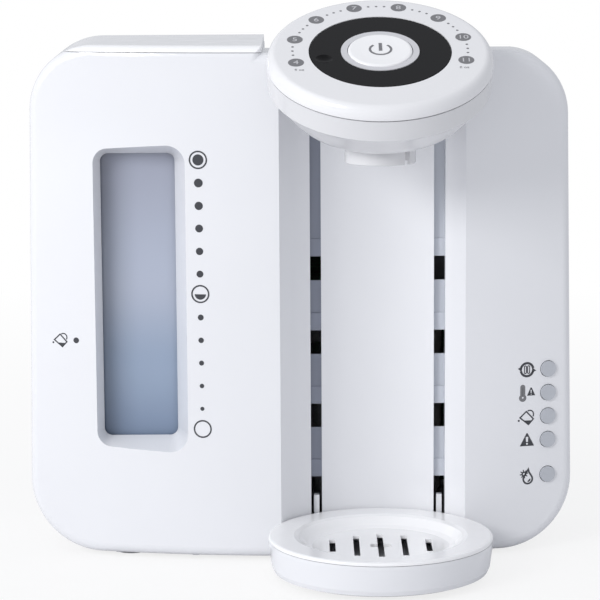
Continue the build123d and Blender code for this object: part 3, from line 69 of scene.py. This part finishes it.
# The tank's tones, from its foot to its top: darker towards the foot, and the darker top is painted shade of the
# window frame
tank_tone_low = 60.0 * mm
tank_tone_high = 235.0 * mm
tank_tone_places = (0.0, 0.28, 0.56, 1.0)
tank_tones_and_shade = ((0.19, 0.25, 0.36), (0.30, 0.37, 0.49), (0.43, 0.47, 0.57), (0.36, 0.38, 0.46))
# Painted shade of the window frame, darkening the tank towards its left edge
tank_shade_left = -114.0 * mm
tank_shade_right = -90.0 * mm
tank_shade_share = 0.62  # of the tones, at the left edge

# The grooves of the bay, with painted shade in them, the left one the deeper in tone
groove_offset = 35.1 * mm  # from the bay's axis to either side
groove_half = 3.15 * mm
groove_starts = (55.5 * mm, 50.5 * mm)  # behind the bay's axis
groove_painted_shades = ((0.30, 0.325, 0.40), (0.64, 0.665, 0.72))

# Prints, in millimetres
print_rise = 0.06
print_sink = 0.12
letter_rise = 0.05
ring_segments = 64

# Level marks beside the window
mark_heights = (228.9, 216.0, 203.2, 190.5, 177.6, 164.8, 153.5, 140.2, 127.2, 114.2, 101.1, 88.0, 76.4)
mark_left = -56.2  # of the top mark
mark_lean = 0.9  # the marks drift to the right towards the bottom
mark_ring = 5.15
mark_line = 0.85
half_mark = 6  # its place in the row
full_radius = 3.1
half_radius = 3.2
half_level = -0.15  # of the half disc's flat side
dot_largest = 2.45
dot_smallest = 1.15

# Icons beside the lenses
lens_x = 140.96
icon_x = lens_x - 12.0

# Scale round the dial, on an oval
label_half_width = 47.3
label_half_height = 48.4
label_rise = 1.7  # of the oval's middle above the dial's
label_radius = 4.3
label_first = 196.4  # degrees
label_step = 30.1
label_size = 5.6
label_stretch = 1.1
volumes = range(4, 12)
dot_step = 5.35
dot_radius = 0.72
unit_drop = 7.9
unit_shifts = (1.8, -1.4)
unit_size = 3.0

# Power symbol, on the button's face
symbol_radius = 5.75
symbol_place = (0.2, 0.9, 0.66)

# Stage and light, in metres
floor_half = 9.0
glow_near = 0.28
glow_far = 1.0
glow_share = 0.8
ambient_strength = 0.66
light_target = Vector((0, 0, 0.15))


# ---------------------------------------------------------------- materials
def shader(name):
    """A new material, its node tree and its surface shader."""
    material = bpy.data.materials.new(name)
    material.use_nodes = True
    tree = material.node_tree
    return material, tree, tree.nodes["Principled BSDF"]


def noise(tree, scale, detail=2.0, stretch=(1, 1, 1)):
    """Noise over the object's own coordinates, in features per metre."""
    place = tree.nodes.new("ShaderNodeTexCoord")
    mapping = tree.nodes.new("ShaderNodeMapping")
    mapping.inputs["Scale"].default_value = stretch
    texture = tree.nodes.new("ShaderNodeTexNoise")
    texture.inputs["Scale"].default_value = scale
    texture.inputs["Detail"].default_value = detail
    tree.links.new(place.outputs["Object"], mapping.inputs["Vector"])
    tree.links.new(mapping.outputs["Vector"], texture.inputs["Vector"])
    return texture.outputs["Fac"]


def spread(tree, value, low, high):
    """Noise, which mostly lies between 0.3 and 0.7, taken to another range."""
    remap = tree.nodes.new("ShaderNodeMapRange")
    remap.inputs["From Min"].default_value = 0.3
    remap.inputs["From Max"].default_value = 0.7
    remap.inputs["To Min"].default_value = low
    remap.inputs["To Max"].default_value = high
    tree.links.new(value, remap.inputs["Value"])
    return remap.outputs["Result"]


def tint(tree, value, first, second):
    """A colour between two, chosen by a value."""
    mix = tree.nodes.new("ShaderNodeMix")
    mix.data_type = "RGBA"
    mix.inputs[6].default_value = (*first, 1)
    mix.inputs[7].default_value = (*second, 1)
    tree.links.new(spread(tree, value, 0, 1), mix.inputs["Factor"])
    return mix.outputs[2]


def bump(tree, surface, value, depth):
    """Fine relief on a shader, its depth in metres."""
    relief = tree.nodes.new("ShaderNodeBump")
    relief.inputs["Strength"].default_value = 1.0
    relief.inputs["Distance"].default_value = depth
    tree.links.new(value, relief.inputs["Height"])
    tree.links.new(relief.outputs["Normal"], surface.inputs["Normal"])


def shade(colour, factor):
    """A colour made lighter or darker."""
    return tuple(min(1.0, channel * factor) for channel in colour)


def moulded(
    name, colour, rough=0.3, coat=0.0, grain=1800, relief=0.004 * mm, drift=0.985, sheen=0.0, ior=1.5
):
    """Injection-moulded plastic or rubber: faint drift of colour and gloss over a fine skin."""
    material, tree, surface = shader(name)
    drifting = noise(tree, 14)
    tree.links.new(tint(tree, drifting, colour, shade(colour, drift)), surface.inputs["Base Color"])
    tree.links.new(spread(tree, noise(tree, 90), rough - 0.03, rough + 0.03), surface.inputs["Roughness"])
    surface.inputs["IOR"].default_value = ior
    surface.inputs["Coat Weight"].default_value = coat
    surface.inputs["Coat Roughness"].default_value = 0.06
    surface.inputs["Sheen Weight"].default_value = sheen
    bump(tree, surface, noise(tree, grain, 3), relief)
    return material


def deepened(material, shade_colour, middle, half, beyond):
    """Paint shade into a material's colour in one upright channel, given by its middle and half width in x.

    The channel starts beyond a place in y.
    """
    tree = material.node_tree
    surface = tree.nodes["Principled BSDF"]
    pale = surface.inputs["Base Color"].links[0].from_socket
    place = tree.nodes.new("ShaderNodeTexCoord")
    split = tree.nodes.new("ShaderNodeSeparateXYZ")
    tree.links.new(place.outputs["Object"], split.inputs["Vector"])
    across = tree.nodes.new("ShaderNodeMath")
    across.operation = "COMPARE"
    across.inputs[1].default_value = middle
    across.inputs[2].default_value = half
    tree.links.new(split.outputs["X"], across.inputs[0])
    behind = tree.nodes.new("ShaderNodeMath")
    behind.operation = "GREATER_THAN"
    behind.inputs[1].default_value = beyond
    tree.links.new(split.outputs["Y"], behind.inputs[0])
    shade_mask = tree.nodes.new("ShaderNodeMath")
    shade_mask.operation = "MULTIPLY"
    tree.links.new(across.outputs["Value"], shade_mask.inputs[0])
    tree.links.new(behind.outputs["Value"], shade_mask.inputs[1])
    mix = tree.nodes.new("ShaderNodeMix")
    mix.data_type = "RGBA"
    mix.inputs[7].default_value = (*shade_colour, 1)
    tree.links.new(shade_mask.outputs["Value"], mix.inputs["Factor"])
    tree.links.new(pale, mix.inputs[6])
    tree.links.new(mix.outputs[2], surface.inputs["Base Color"])


def metal(name, colour, rough=0.3, stretch=(1, 1, 1), grain=1500, relief=0.006 * mm):
    """Metal with fine marks along one direction."""
    material, tree, surface = shader(name)
    marks = noise(tree, grain, 4, stretch)
    tree.links.new(tint(tree, marks, colour, shade(colour, 0.86)), surface.inputs["Base Color"])
    tree.links.new(spread(tree, marks, rough - 0.08, rough + 0.08), surface.inputs["Roughness"])
    surface.inputs["Metallic"].default_value = 1.0
    bump(tree, surface, marks, relief)
    return material


def circuit(name, colour):
    """Solder mask over copper tracks."""
    material, tree, surface = shader(name)
    place = tree.nodes.new("ShaderNodeTexCoord")
    tracks = tree.nodes.new("ShaderNodeTexBrick")
    tracks.inputs["Color1"].default_value = (*colour, 1)
    tracks.inputs["Color2"].default_value = (*shade(colour, 1.25), 1)
    tracks.inputs["Mortar"].default_value = (*shade(colour, 1.9), 1)
    tracks.inputs["Scale"].default_value = 120.0
    tracks.inputs["Mortar Size"].default_value = 0.03
    turned = tree.nodes.new("ShaderNodeMapping")
    turned.inputs["Rotation"].default_value = (radians(90), 0, 0)
    tree.links.new(place.outputs["Object"], turned.inputs["Vector"])
    tree.links.new(turned.outputs["Vector"], tracks.inputs["Vector"])
    tree.links.new(tracks.outputs["Color"], surface.inputs["Base Color"])
    tree.links.new(spread(tree, noise(tree, 200), 0.28, 0.4), surface.inputs["Roughness"])
    return material


def smoked(name):
    """The tank's tinted wall: palest across its middle, darker towards the foot, with painted shade of the window
    frame at the top and the left edge.
    """
    material, tree, surface = shader(name)
    place = tree.nodes.new("ShaderNodeTexCoord")
    split = tree.nodes.new("ShaderNodeSeparateXYZ")
    tree.links.new(place.outputs["Object"], split.inputs["Vector"])
    height = tree.nodes.new("ShaderNodeMapRange")
    height.inputs["From Min"].default_value = tank_tone_low
    height.inputs["From Max"].default_value = tank_tone_high
    tree.links.new(split.outputs["Z"], height.inputs["Value"])
    tones = tree.nodes.new("ShaderNodeValToRGB")
    tones.color_ramp.interpolation = "EASE"
    stops = tones.color_ramp.elements
    while len(stops) < len(tank_tones_and_shade):
        stops.new(0.5)
    for stop, where, colour in zip(stops, tank_tone_places, tank_tones_and_shade):
        stop.position = where
        stop.color = (*colour, 1)
    tree.links.new(height.outputs["Result"], tones.inputs["Fac"])
    # Painted shade of the window frame, darkening the tones towards the left edge
    side = tree.nodes.new("ShaderNodeMapRange")
    side.interpolation_type = "SMOOTHSTEP"
    side.inputs["From Min"].default_value = tank_shade_left
    side.inputs["From Max"].default_value = tank_shade_right
    side.inputs["To Min"].default_value = tank_shade_share
    tree.links.new(split.outputs["X"], side.inputs["Value"])
    frame_shading = tree.nodes.new("ShaderNodeVectorMath")
    frame_shading.operation = "SCALE"
    tree.links.new(tones.outputs["Color"], frame_shading.inputs["Vector"])
    tree.links.new(side.outputs["Result"], frame_shading.inputs["Scale"])
    tree.links.new(frame_shading.outputs["Vector"], surface.inputs["Base Color"])
    tree.links.new(spread(tree, noise(tree, 60), 0.3, 0.38), surface.inputs["Roughness"])
    surface.inputs["IOR"].default_value = 1.46
    bump(tree, surface, noise(tree, 900, 2), 0.002 * mm)
    return material


casing_colour = (0.82, 0.825, 0.85)
white = moulded("white_gloss_plastic", casing_colour, 0.20, 0.35)
# The bay liner's white, which gets painted shade in its grooves below
liner_with_painted_shade = moulded("bay_liner_painted_groove_shade", casing_colour, 0.20, 0.35)
white_head = moulded("white_head_plastic", (0.84, 0.84, 0.855), 0.22, 0.3)
# A paler copy of the casing white: painted light for the tank lid, the start button and the drip plate
white_lit = moulded("white_plastic_painted_light", (0.95, 0.95, 0.96), 0.24, 0.3)
# A darker copy of the casing white: painted shade for the head's bowl and the nozzle guard, which face down
white_shaded = moulded("white_plastic_painted_shade", (0.73, 0.73, 0.745), 0.24, 0.25)
white_satin = moulded("white_satin_plastic", (0.74, 0.74, 0.76), 0.42, grain=2600, relief=0.01 * mm)
black = moulded("black_gloss_plastic", (0.006, 0.006, 0.0065), 0.24, relief=0.002 * mm, ior=1.22)
ring_grey = moulded("light_ring_plastic", (0.64, 0.64, 0.665), 0.34)
lens_grey = moulded("lens_plastic", (0.50, 0.52, 0.56), 0.30, 0.2)
mid_grey = moulded("grey_plastic", (0.30, 0.31, 0.33), 0.4, grain=2600, relief=0.01 * mm)
dark = moulded("dark_plastic", (0.03, 0.03, 0.034), 0.45, grain=3000, relief=0.012 * mm)
rubber = moulded("soft_rubber", (0.06, 0.06, 0.065), 0.7, grain=3500, relief=0.02 * mm, sheen=0.2)
pale_rubber = moulded("pale_rubber", (0.52, 0.52, 0.54), 0.7, grain=3500, relief=0.02 * mm, sheen=0.2)
silicone = moulded("silicone_hose", (0.62, 0.62, 0.58), 0.5, drift=0.94, sheen=0.15)
cartridge = moulded("filter_cartridge_plastic", (0.72, 0.73, 0.74), 0.5, grain=2200, relief=0.01 * mm)
winding = moulded("varnished_winding", (0.30, 0.11, 0.03), 0.35, 0.3, grain=1200, relief=0.04 * mm)
steel = metal("zinc_plated_steel", (0.55, 0.55, 0.58), 0.32)
spring_steel = metal("spring_steel", (0.62, 0.62, 0.65), 0.22, grain=2500)
cast = metal("cast_aluminium", (0.62, 0.63, 0.65), 0.48, grain=900, relief=0.04 * mm)
board = circuit("solder_mask", (0.012, 0.085, 0.03))
# The tank's wall, with painted shade of the window frame
shaded_tank_wall = smoked("smoked_tank_painted_shade")
print_dark = moulded("print_charcoal", (0.045, 0.047, 0.055), 0.42)
print_grey = moulded("print_grey", (0.19, 0.19, 0.20), 0.42)
print_light = moulded("print_light", (0.60, 0.60, 0.62), 0.42)

slot_material = {
    "white_gloss": white,
    "white_satin": white_satin,
    "black_gloss": black,
    "ring_grey": ring_grey,
    "lens_grey": lens_grey,
    "clear_tank": shaded_tank_wall,
    "grey_plastic": mid_grey,
    "dark_plastic": dark,
    "soft_rubber": rubber,
    "silicone": silicone,
    "steel": steel,
    "spring_steel": spring_steel,
    "cast_aluminium": cast,
    "circuit_board": board,
    "filter_white": cartridge,
    "copper_winding": winding,
}


def paint(obj, material):
    """Give an object one material."""
    obj.data.materials.clear()
    obj.data.materials.append(material)


for entry in frame["record"]["subparts"]:
    paint(nodes[entry["node"]], slot_material[entry["material_slot"]])
# Painted shade in the bay's two grooves, deeper in the left one
for side, start, groove_shade in zip((-1, 1), groove_starts, groove_painted_shades):
    deepened(liner_with_painted_shade, groove_shade, bay_x + side * groove_offset, groove_half, bay_y + start)
paint(nodes["bay_liner"], liner_with_painted_shade)
paint(nodes["head_cover"], white_head)
# Painted shade: the head's bowl and nozzle guard in the darker white
for name in ("head_housing", "nozzle_guard"):
    paint(nodes[name], white_shaded)
# Painted light: the lid, start button and drip plate in the paler white
for name in ("tank_lid", "start_button", "drip_plate"):
    paint(nodes[name], white_lit)
paint(nodes["rubber_feet"], pale_rubber)


# ---------------------------------------------------------------- flat prints
def circle(radius, x=0.0, y=0.0, segments=ring_segments):
    """A round outline."""
    turns = [2 * pi * i / segments for i in range(segments)]
    return [(x + radius * cos(turn), y + radius * sin(turn)) for turn in turns]


def arc(radius, start, end, x=0.0, y=0.0, segments=24):
    """Points along an arc, its angles in degrees."""
    turns = [radians(start + (end - start) * i / segments) for i in range(segments + 1)]
    return [(x + radius * cos(turn), y + radius * sin(turn)) for turn in turns]


def stroke(points, width, closed=False):
    """The outline of a line of some width along points: one loop, or two for a closed line."""
    path = [Vector(point) for point in points]
    count = len(path)
    sides = ([], [])
    for i, point in enumerate(path):
        before = path[i - 1] if closed or i else point
        after = path[(i + 1) % count] if closed or i < count - 1 else point
        into = (point - before).normalized() if before != point else (after - point).normalized()
        out = (after - point).normalized() if after != point else into
        normal = Vector((-into.y - out.y, into.x + out.x)).normalized()
        reach = width / 2 / max(0.35, normal.dot(Vector((-into.y, into.x))))
        sides[0].append(point + normal * reach)
        sides[1].append(point - normal * reach)
    left = [tuple(point) for point in sides[0]]
    right = [tuple(point) for point in sides[1]]
    return [left, right] if closed else [left + right[::-1]]


def front_place(x, z):
    """Frame of a print on the bowed front: x to the right, y up, z out."""
    lean = asin(x * mm / front_bow)
    out = Vector((sin(lean), -cos(lean), 0))
    along = Vector((cos(lean), sin(lean), 0))
    origin = Vector((x * mm, crown_y + front_bow * (1 - cos(lean)), z * mm))
    return Matrix.Translation(origin) @ Matrix((along, Vector((0, 0, 1)), out)).transposed().to_4x4()


head_side = Vector((1, 0, 0))
head_up = head_out.cross(head_side)


def head_place(x, y, z=0.0):
    """Frame in the head's own tilted plane, from the dial's centre."""
    origin = head_centre + (head_side * x + head_up * y + head_out * z) * mm
    return Matrix.Translation(origin) @ Matrix((head_side, head_up, head_out)).transposed().to_4x4()


def plate(name, shapes, place, body, material):
    """Thin printed shapes. Each shape is a list of loops, the later ones holes in the first."""
    mesh = bmesh.new()
    for loops in shapes:
        flat = [[Vector((x, y, 0)) for x, y in loop] for loop in loops]
        triangles = tessellate_polygon(flat)
        points = [point for loop in flat for point in loop]
        top = [mesh.verts.new(place @ (Vector((p.x, p.y, print_rise)) * mm)) for p in points]
        low = [mesh.verts.new(place @ (Vector((p.x, p.y, -print_sink)) * mm)) for p in points]
        for a, b, c in triangles:
            mesh.faces.new((top[a], top[b], top[c]))
            mesh.faces.new((low[c], low[b], low[a]))
        start = 0
        for loop in flat:
            for i in range(len(loop)):
                j = (i + 1) % len(loop)
                mesh.faces.new((top[start + i], top[start + j], low[start + j], low[start + i]))
            start += len(loop)
    bmesh.ops.recalc_face_normals(mesh, faces=mesh.faces)
    data = bpy.data.meshes.new(name)
    mesh.to_mesh(data)
    mesh.free()
    piece(name, data, body, material)


def piece(name, data, body, material):
    """An object from mesh data, with its body and material."""
    obj = bpy.data.objects.new(name, data)
    bpy.context.scene.collection.objects.link(obj)
    paint(obj, material)
    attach(obj, body)


def lettering(name, text, size, place, body, material, across=1.0):
    """Raised generic characters, centred on their place."""
    curve = bpy.data.curves.new(name, "FONT")
    curve.body = text
    curve.size = size * mm
    curve.align_x = "CENTER"
    curve.align_y = "CENTER"
    curve.extrude = letter_rise * mm
    curve.resolution_u = 6
    helper = bpy.data.objects.new(name + "_curve", curve)
    bpy.context.scene.collection.objects.link(helper)
    bpy.context.view_layer.update()
    data = bpy.data.meshes.new_from_object(helper.evaluated_get(bpy.context.evaluated_depsgraph_get()))
    bpy.data.objects.remove(helper)
    bpy.data.curves.remove(curve)
    data.transform(Matrix.Diagonal((across, 1, 1, 1)))
    data.transform(place)
    piece(name, data, body, material)


# Water level marks beside the window
def half_disc(radius, level):
    """The part of a disc under a level."""
    edge = degrees(asin(level / radius))
    return arc(radius, 180 - edge, 360 + edge, segments=32)


for i, z in enumerate(mark_heights):
    x = mark_left + mark_lean * i / (len(mark_heights) - 1)
    ring = [circle(mark_ring), circle(mark_ring - mark_line)]
    if i == 0:
        shapes = [ring, [circle(full_radius)]]
    elif i == half_mark:
        shapes = [ring, [half_disc(half_radius, half_level)]]
    elif i == len(mark_heights) - 1:
        shapes = [ring]
    else:
        shrink = (dot_largest - dot_smallest) * (i - 1) / (len(mark_heights) - 3)
        shapes = [[circle(dot_largest - shrink)]]
    plate(f"level_mark_{i:02d}", shapes, front_place(x, z), "casing", print_dark)


# Icons on the panel, drawn about the middle of each
def jug():
    """A tipped jug, part full, with a drop at its lip."""
    body = [(-4.6, 0.1), (-0.5, 3.9), (4.2, -1.0), (1.0, -4.4)]
    handle = arc(2.5, 125, -35, 1.8, 2.0, 14)
    drop = circle(0.65, -5.4, -1.7, 14)
    fill = [(-2.2, -1.7), (2.9, -1.9), (3.6, -1.0), (1.0, -3.9)]
    return [stroke(body, 0.85, True), stroke(handle, 0.75), [drop], [fill]]


def filter_symbol():
    """Two arrows chasing round a cartridge."""
    shapes = []
    for turn in (0, 180):
        shapes.append(stroke(arc(3.75, turn + 10, turn + 166), 1.35))
        tip = radians(turn + 172)
        corners = [tip + a for a in (0, 2.1, 4.2)]
        shapes.append([[(3.9 * cos(tip) + 1.7 * cos(a), 3.9 * sin(tip) + 1.7 * sin(a)) for a in corners]])
    for x in (-0.95, 0.95):
        shapes.append(stroke(arc(0.62, 0, 180, x, 1.6, 8) + arc(0.62, 180, 360, x, -1.6, 8), 0.55, True))
    return shapes


def thermometer():
    """A filled thermometer with a paler column in it."""
    stem = arc(1.5, 0, 180, 0, 3.3, 12) + arc(2.2, 133, 407, 0, -2.9, 26)
    return [[stem, circle(0.55, 0, -2.7, 16)], stroke([(0, -1.6), (0, 3.4)], 0.35)]


def triangle(width, height, mark):
    """A filled triangle with an upright mark left open in it."""
    outline = [(-width / 2, 0), (width / 2, 0), (width / 2 - 0.2, 0.4), (0.35, height), (-0.35, height)]
    outline.append((-width / 2 + 0.2, 0.4))
    low = height * 0.32
    high = height * 0.72
    bar = [(-mark, low), (mark, low), (1.3 * mark, high), (-1.3 * mark, high)]
    return [[outline, bar, circle(mark, 0, height * 0.17, 12)]]


def drop_symbol():
    """A water drop with a small sun at its shoulder."""
    drop = arc(2.75, 150, 390, 0.35, -1.5, 28) + [(1.1, 2.4), (0.6, 4.1)]
    shine = arc(1.7, 260, 365, 0.35, -1.6, 12) + arc(0.8, 350, 280, 0.35, -1.6, 8)
    shapes = [stroke(drop, 1.0, True), [shine], [circle(1.5, -2.0, 1.5, 20), circle(0.65, -2.0, 1.5, 20)]]
    for i in range(8):
        turn = radians(45 * i + 10)
        ray = [(-2.0 + r * cos(turn), 1.5 + r * sin(turn)) for r in (1.5, 2.5)]
        shapes.append(stroke(ray, 0.6))
    return shapes


def icon(name, shapes, x, z, scale=1.0, material=print_dark):
    """Print an icon on the front."""
    sized = [[[(px * scale, py * scale) for px, py in loop] for loop in loops] for loops in shapes]
    plate(name, sized, front_place(x, z), "casing", material)


icon("filter_icon", filter_symbol(), icon_x - 0.3, 106.5)
icon("thermometer_icon", thermometer(), icon_x - 2.7, 93.1, material=print_grey)
icon("heat_triangle_icon", triangle(5.0, 4.6, 0.3), icon_x + 2.2, 91.4)
icon("jug_icon", jug(), icon_x - 0.1, 78.7, 0.92)
icon("warning_icon", triangle(8.6, 7.4, 0.6), icon_x, 62.2)
icon("drop_icon", drop_symbol(), icon_x + 0.3, 44.4)
icon("fill_icon", jug(), -135.8, 124.9, 0.86)
icon("fill_dot", [[circle(1.65)]], -126.9, 125.1)


# Scale round the dial
def on_oval(turn):
    """A point of the labels' oval."""
    angle = radians(turn)
    return label_half_width * cos(angle), label_rise + label_half_height * sin(angle)


for i, volume in enumerate(volumes):
    turn = label_first - label_step * i
    disc = head_place(*on_oval(turn))
    plate(f"scale_disc_{volume}", [[circle(label_radius)]], disc, "casing", print_grey)
    number = head_place(*on_oval(turn), print_rise)
    name = f"scale_number_{volume}"
    lettering(name, str(volume), label_size, number, "casing", print_light, label_stretch)
    if volume < volumes[-1]:
        for j in (-1, 0, 1):
            dot = head_place(*on_oval(turn - label_step / 2 + j * dot_step))
            name = f"scale_dot_{volume}_{j + 1}"
            plate(name, [[circle(dot_radius, segments=20)]], dot, "casing", print_grey)
for volume, shift in zip((volumes[0], volumes[-1]), unit_shifts):
    x, y = on_oval(label_first - label_step * (volume - volumes[0]))
    unit = head_place(x + shift, y - unit_drop, print_rise / 2)
    lettering(f"unit_{volume}", "fl oz", unit_size, unit, "casing", print_grey)

# Power symbol on the start button
symbol = [stroke(arc(symbol_radius, 130, 410, segments=40), 1.25), stroke([(0, 6.8), (0, -1.4)], 1.8)]
plate("power_symbol", symbol, head_place(*symbol_place), "start_button", print_grey)


# ---------------------------------------------------------------- stage, light and camera
scene = bpy.context.scene
scene.view_settings.view_transform = "Standard"


def backdrop_material():
    """White to the camera, wholly so away from the object, with the object's shadow kept near it."""
    material, tree, surface = shader("stage_white")
    surface.inputs["Base Color"].default_value = (0.88, 0.88, 0.89, 1)
    surface.inputs["Roughness"].default_value = 0.9
    glow = tree.nodes.new("ShaderNodeEmission")
    glow.inputs["Color"].default_value = (1, 1, 1, 1)
    glow.inputs["Strength"].default_value = 1.0
    place = tree.nodes.new("ShaderNodeTexCoord")
    reach = tree.nodes.new("ShaderNodeVectorMath")
    reach.operation = "LENGTH"
    tree.links.new(place.outputs["Object"], reach.inputs["Vector"])
    fade = tree.nodes.new("ShaderNodeMapRange")
    fade.inputs["From Min"].default_value = glow_near
    fade.inputs["From Max"].default_value = glow_far
    fade.inputs["To Min"].default_value = glow_share
    tree.links.new(reach.outputs["Value"], fade.inputs["Value"])
    rays = tree.nodes.new("ShaderNodeLightPath")
    share = tree.nodes.new("ShaderNodeMath")
    share.operation = "MULTIPLY"
    tree.links.new(rays.outputs["Is Camera Ray"], share.inputs[0])
    tree.links.new(fade.outputs["Result"], share.inputs[1])
    mix = tree.nodes.new("ShaderNodeMixShader")
    tree.links.new(share.outputs["Value"], mix.inputs["Fac"])
    tree.links.new(surface.outputs["BSDF"], mix.inputs[1])
    tree.links.new(glow.outputs["Emission"], mix.inputs[2])
    tree.links.new(mix.outputs["Shader"], tree.nodes["Material Output"].inputs["Surface"])
    return material


floor_mesh = bmesh.new()
bmesh.ops.create_grid(floor_mesh, x_segments=8, y_segments=8, size=floor_half)
floor_data = bpy.data.meshes.new("floor")
floor_mesh.to_mesh(floor_data)
floor_mesh.free()
floor = bpy.data.objects.new("floor", floor_data)
floor.data.materials.append(backdrop_material())
scene.collection.objects.link(floor)

world = bpy.data.worlds.new("studio")
scene.world = world
world.use_nodes = True
sky = world.node_tree
ambient = sky.nodes["Background"]
ambient.inputs["Color"].default_value = (0.93, 0.95, 1.0, 1)
ambient.inputs["Strength"].default_value = ambient_strength
seen = sky.nodes.new("ShaderNodeBackground")
seen.inputs["Color"].default_value = (1, 1, 1, 1)
seen.inputs["Strength"].default_value = 1.0
world_rays = sky.nodes.new("ShaderNodeLightPath")
world_mix = sky.nodes.new("ShaderNodeMixShader")
sky.links.new(world_rays.outputs["Is Camera Ray"], world_mix.inputs["Fac"])
sky.links.new(ambient.outputs["Background"], world_mix.inputs[1])
sky.links.new(seen.outputs["Background"], world_mix.inputs[2])
sky.links.new(world_mix.outputs["Shader"], sky.nodes["World Output"].inputs["Surface"])


def softbox(name, place, size, power):
    """A square area light aimed at the object."""
    data = bpy.data.lights.new(name, "AREA")
    data.shape = "SQUARE"
    data.size = size
    data.energy = power
    lamp = bpy.data.objects.new(name, data)
    lamp.location = place
    lamp.rotation_euler = (light_target - Vector(place)).to_track_quat("-Z", "Y").to_euler()
    scene.collection.objects.link(lamp)


softbox("key", (-1.6, -1.8, 1.2), 0.8, 26)
softbox("side", (-2.2, -0.9, 1.0), 1.0, 6)
softbox("top", (-1.3, -0.3, 2.0), 1.2, 3)

camera_data = bpy.data.cameras.new("camera")
camera_data.lens = camera_lens
camera_data.sensor_width = sensor_width
camera = bpy.data.objects.new("camera", camera_data)
tip = Matrix.Rotation(radians(90 - camera_pitch), 4, "X")
roll = Matrix.Rotation(radians(-camera_roll), 4, "Z")
camera.matrix_world = Matrix.Translation((0, crown_y - camera_distance, camera_height)) @ tip @ roll
scene.collection.objects.link(camera)
scene.camera = camera
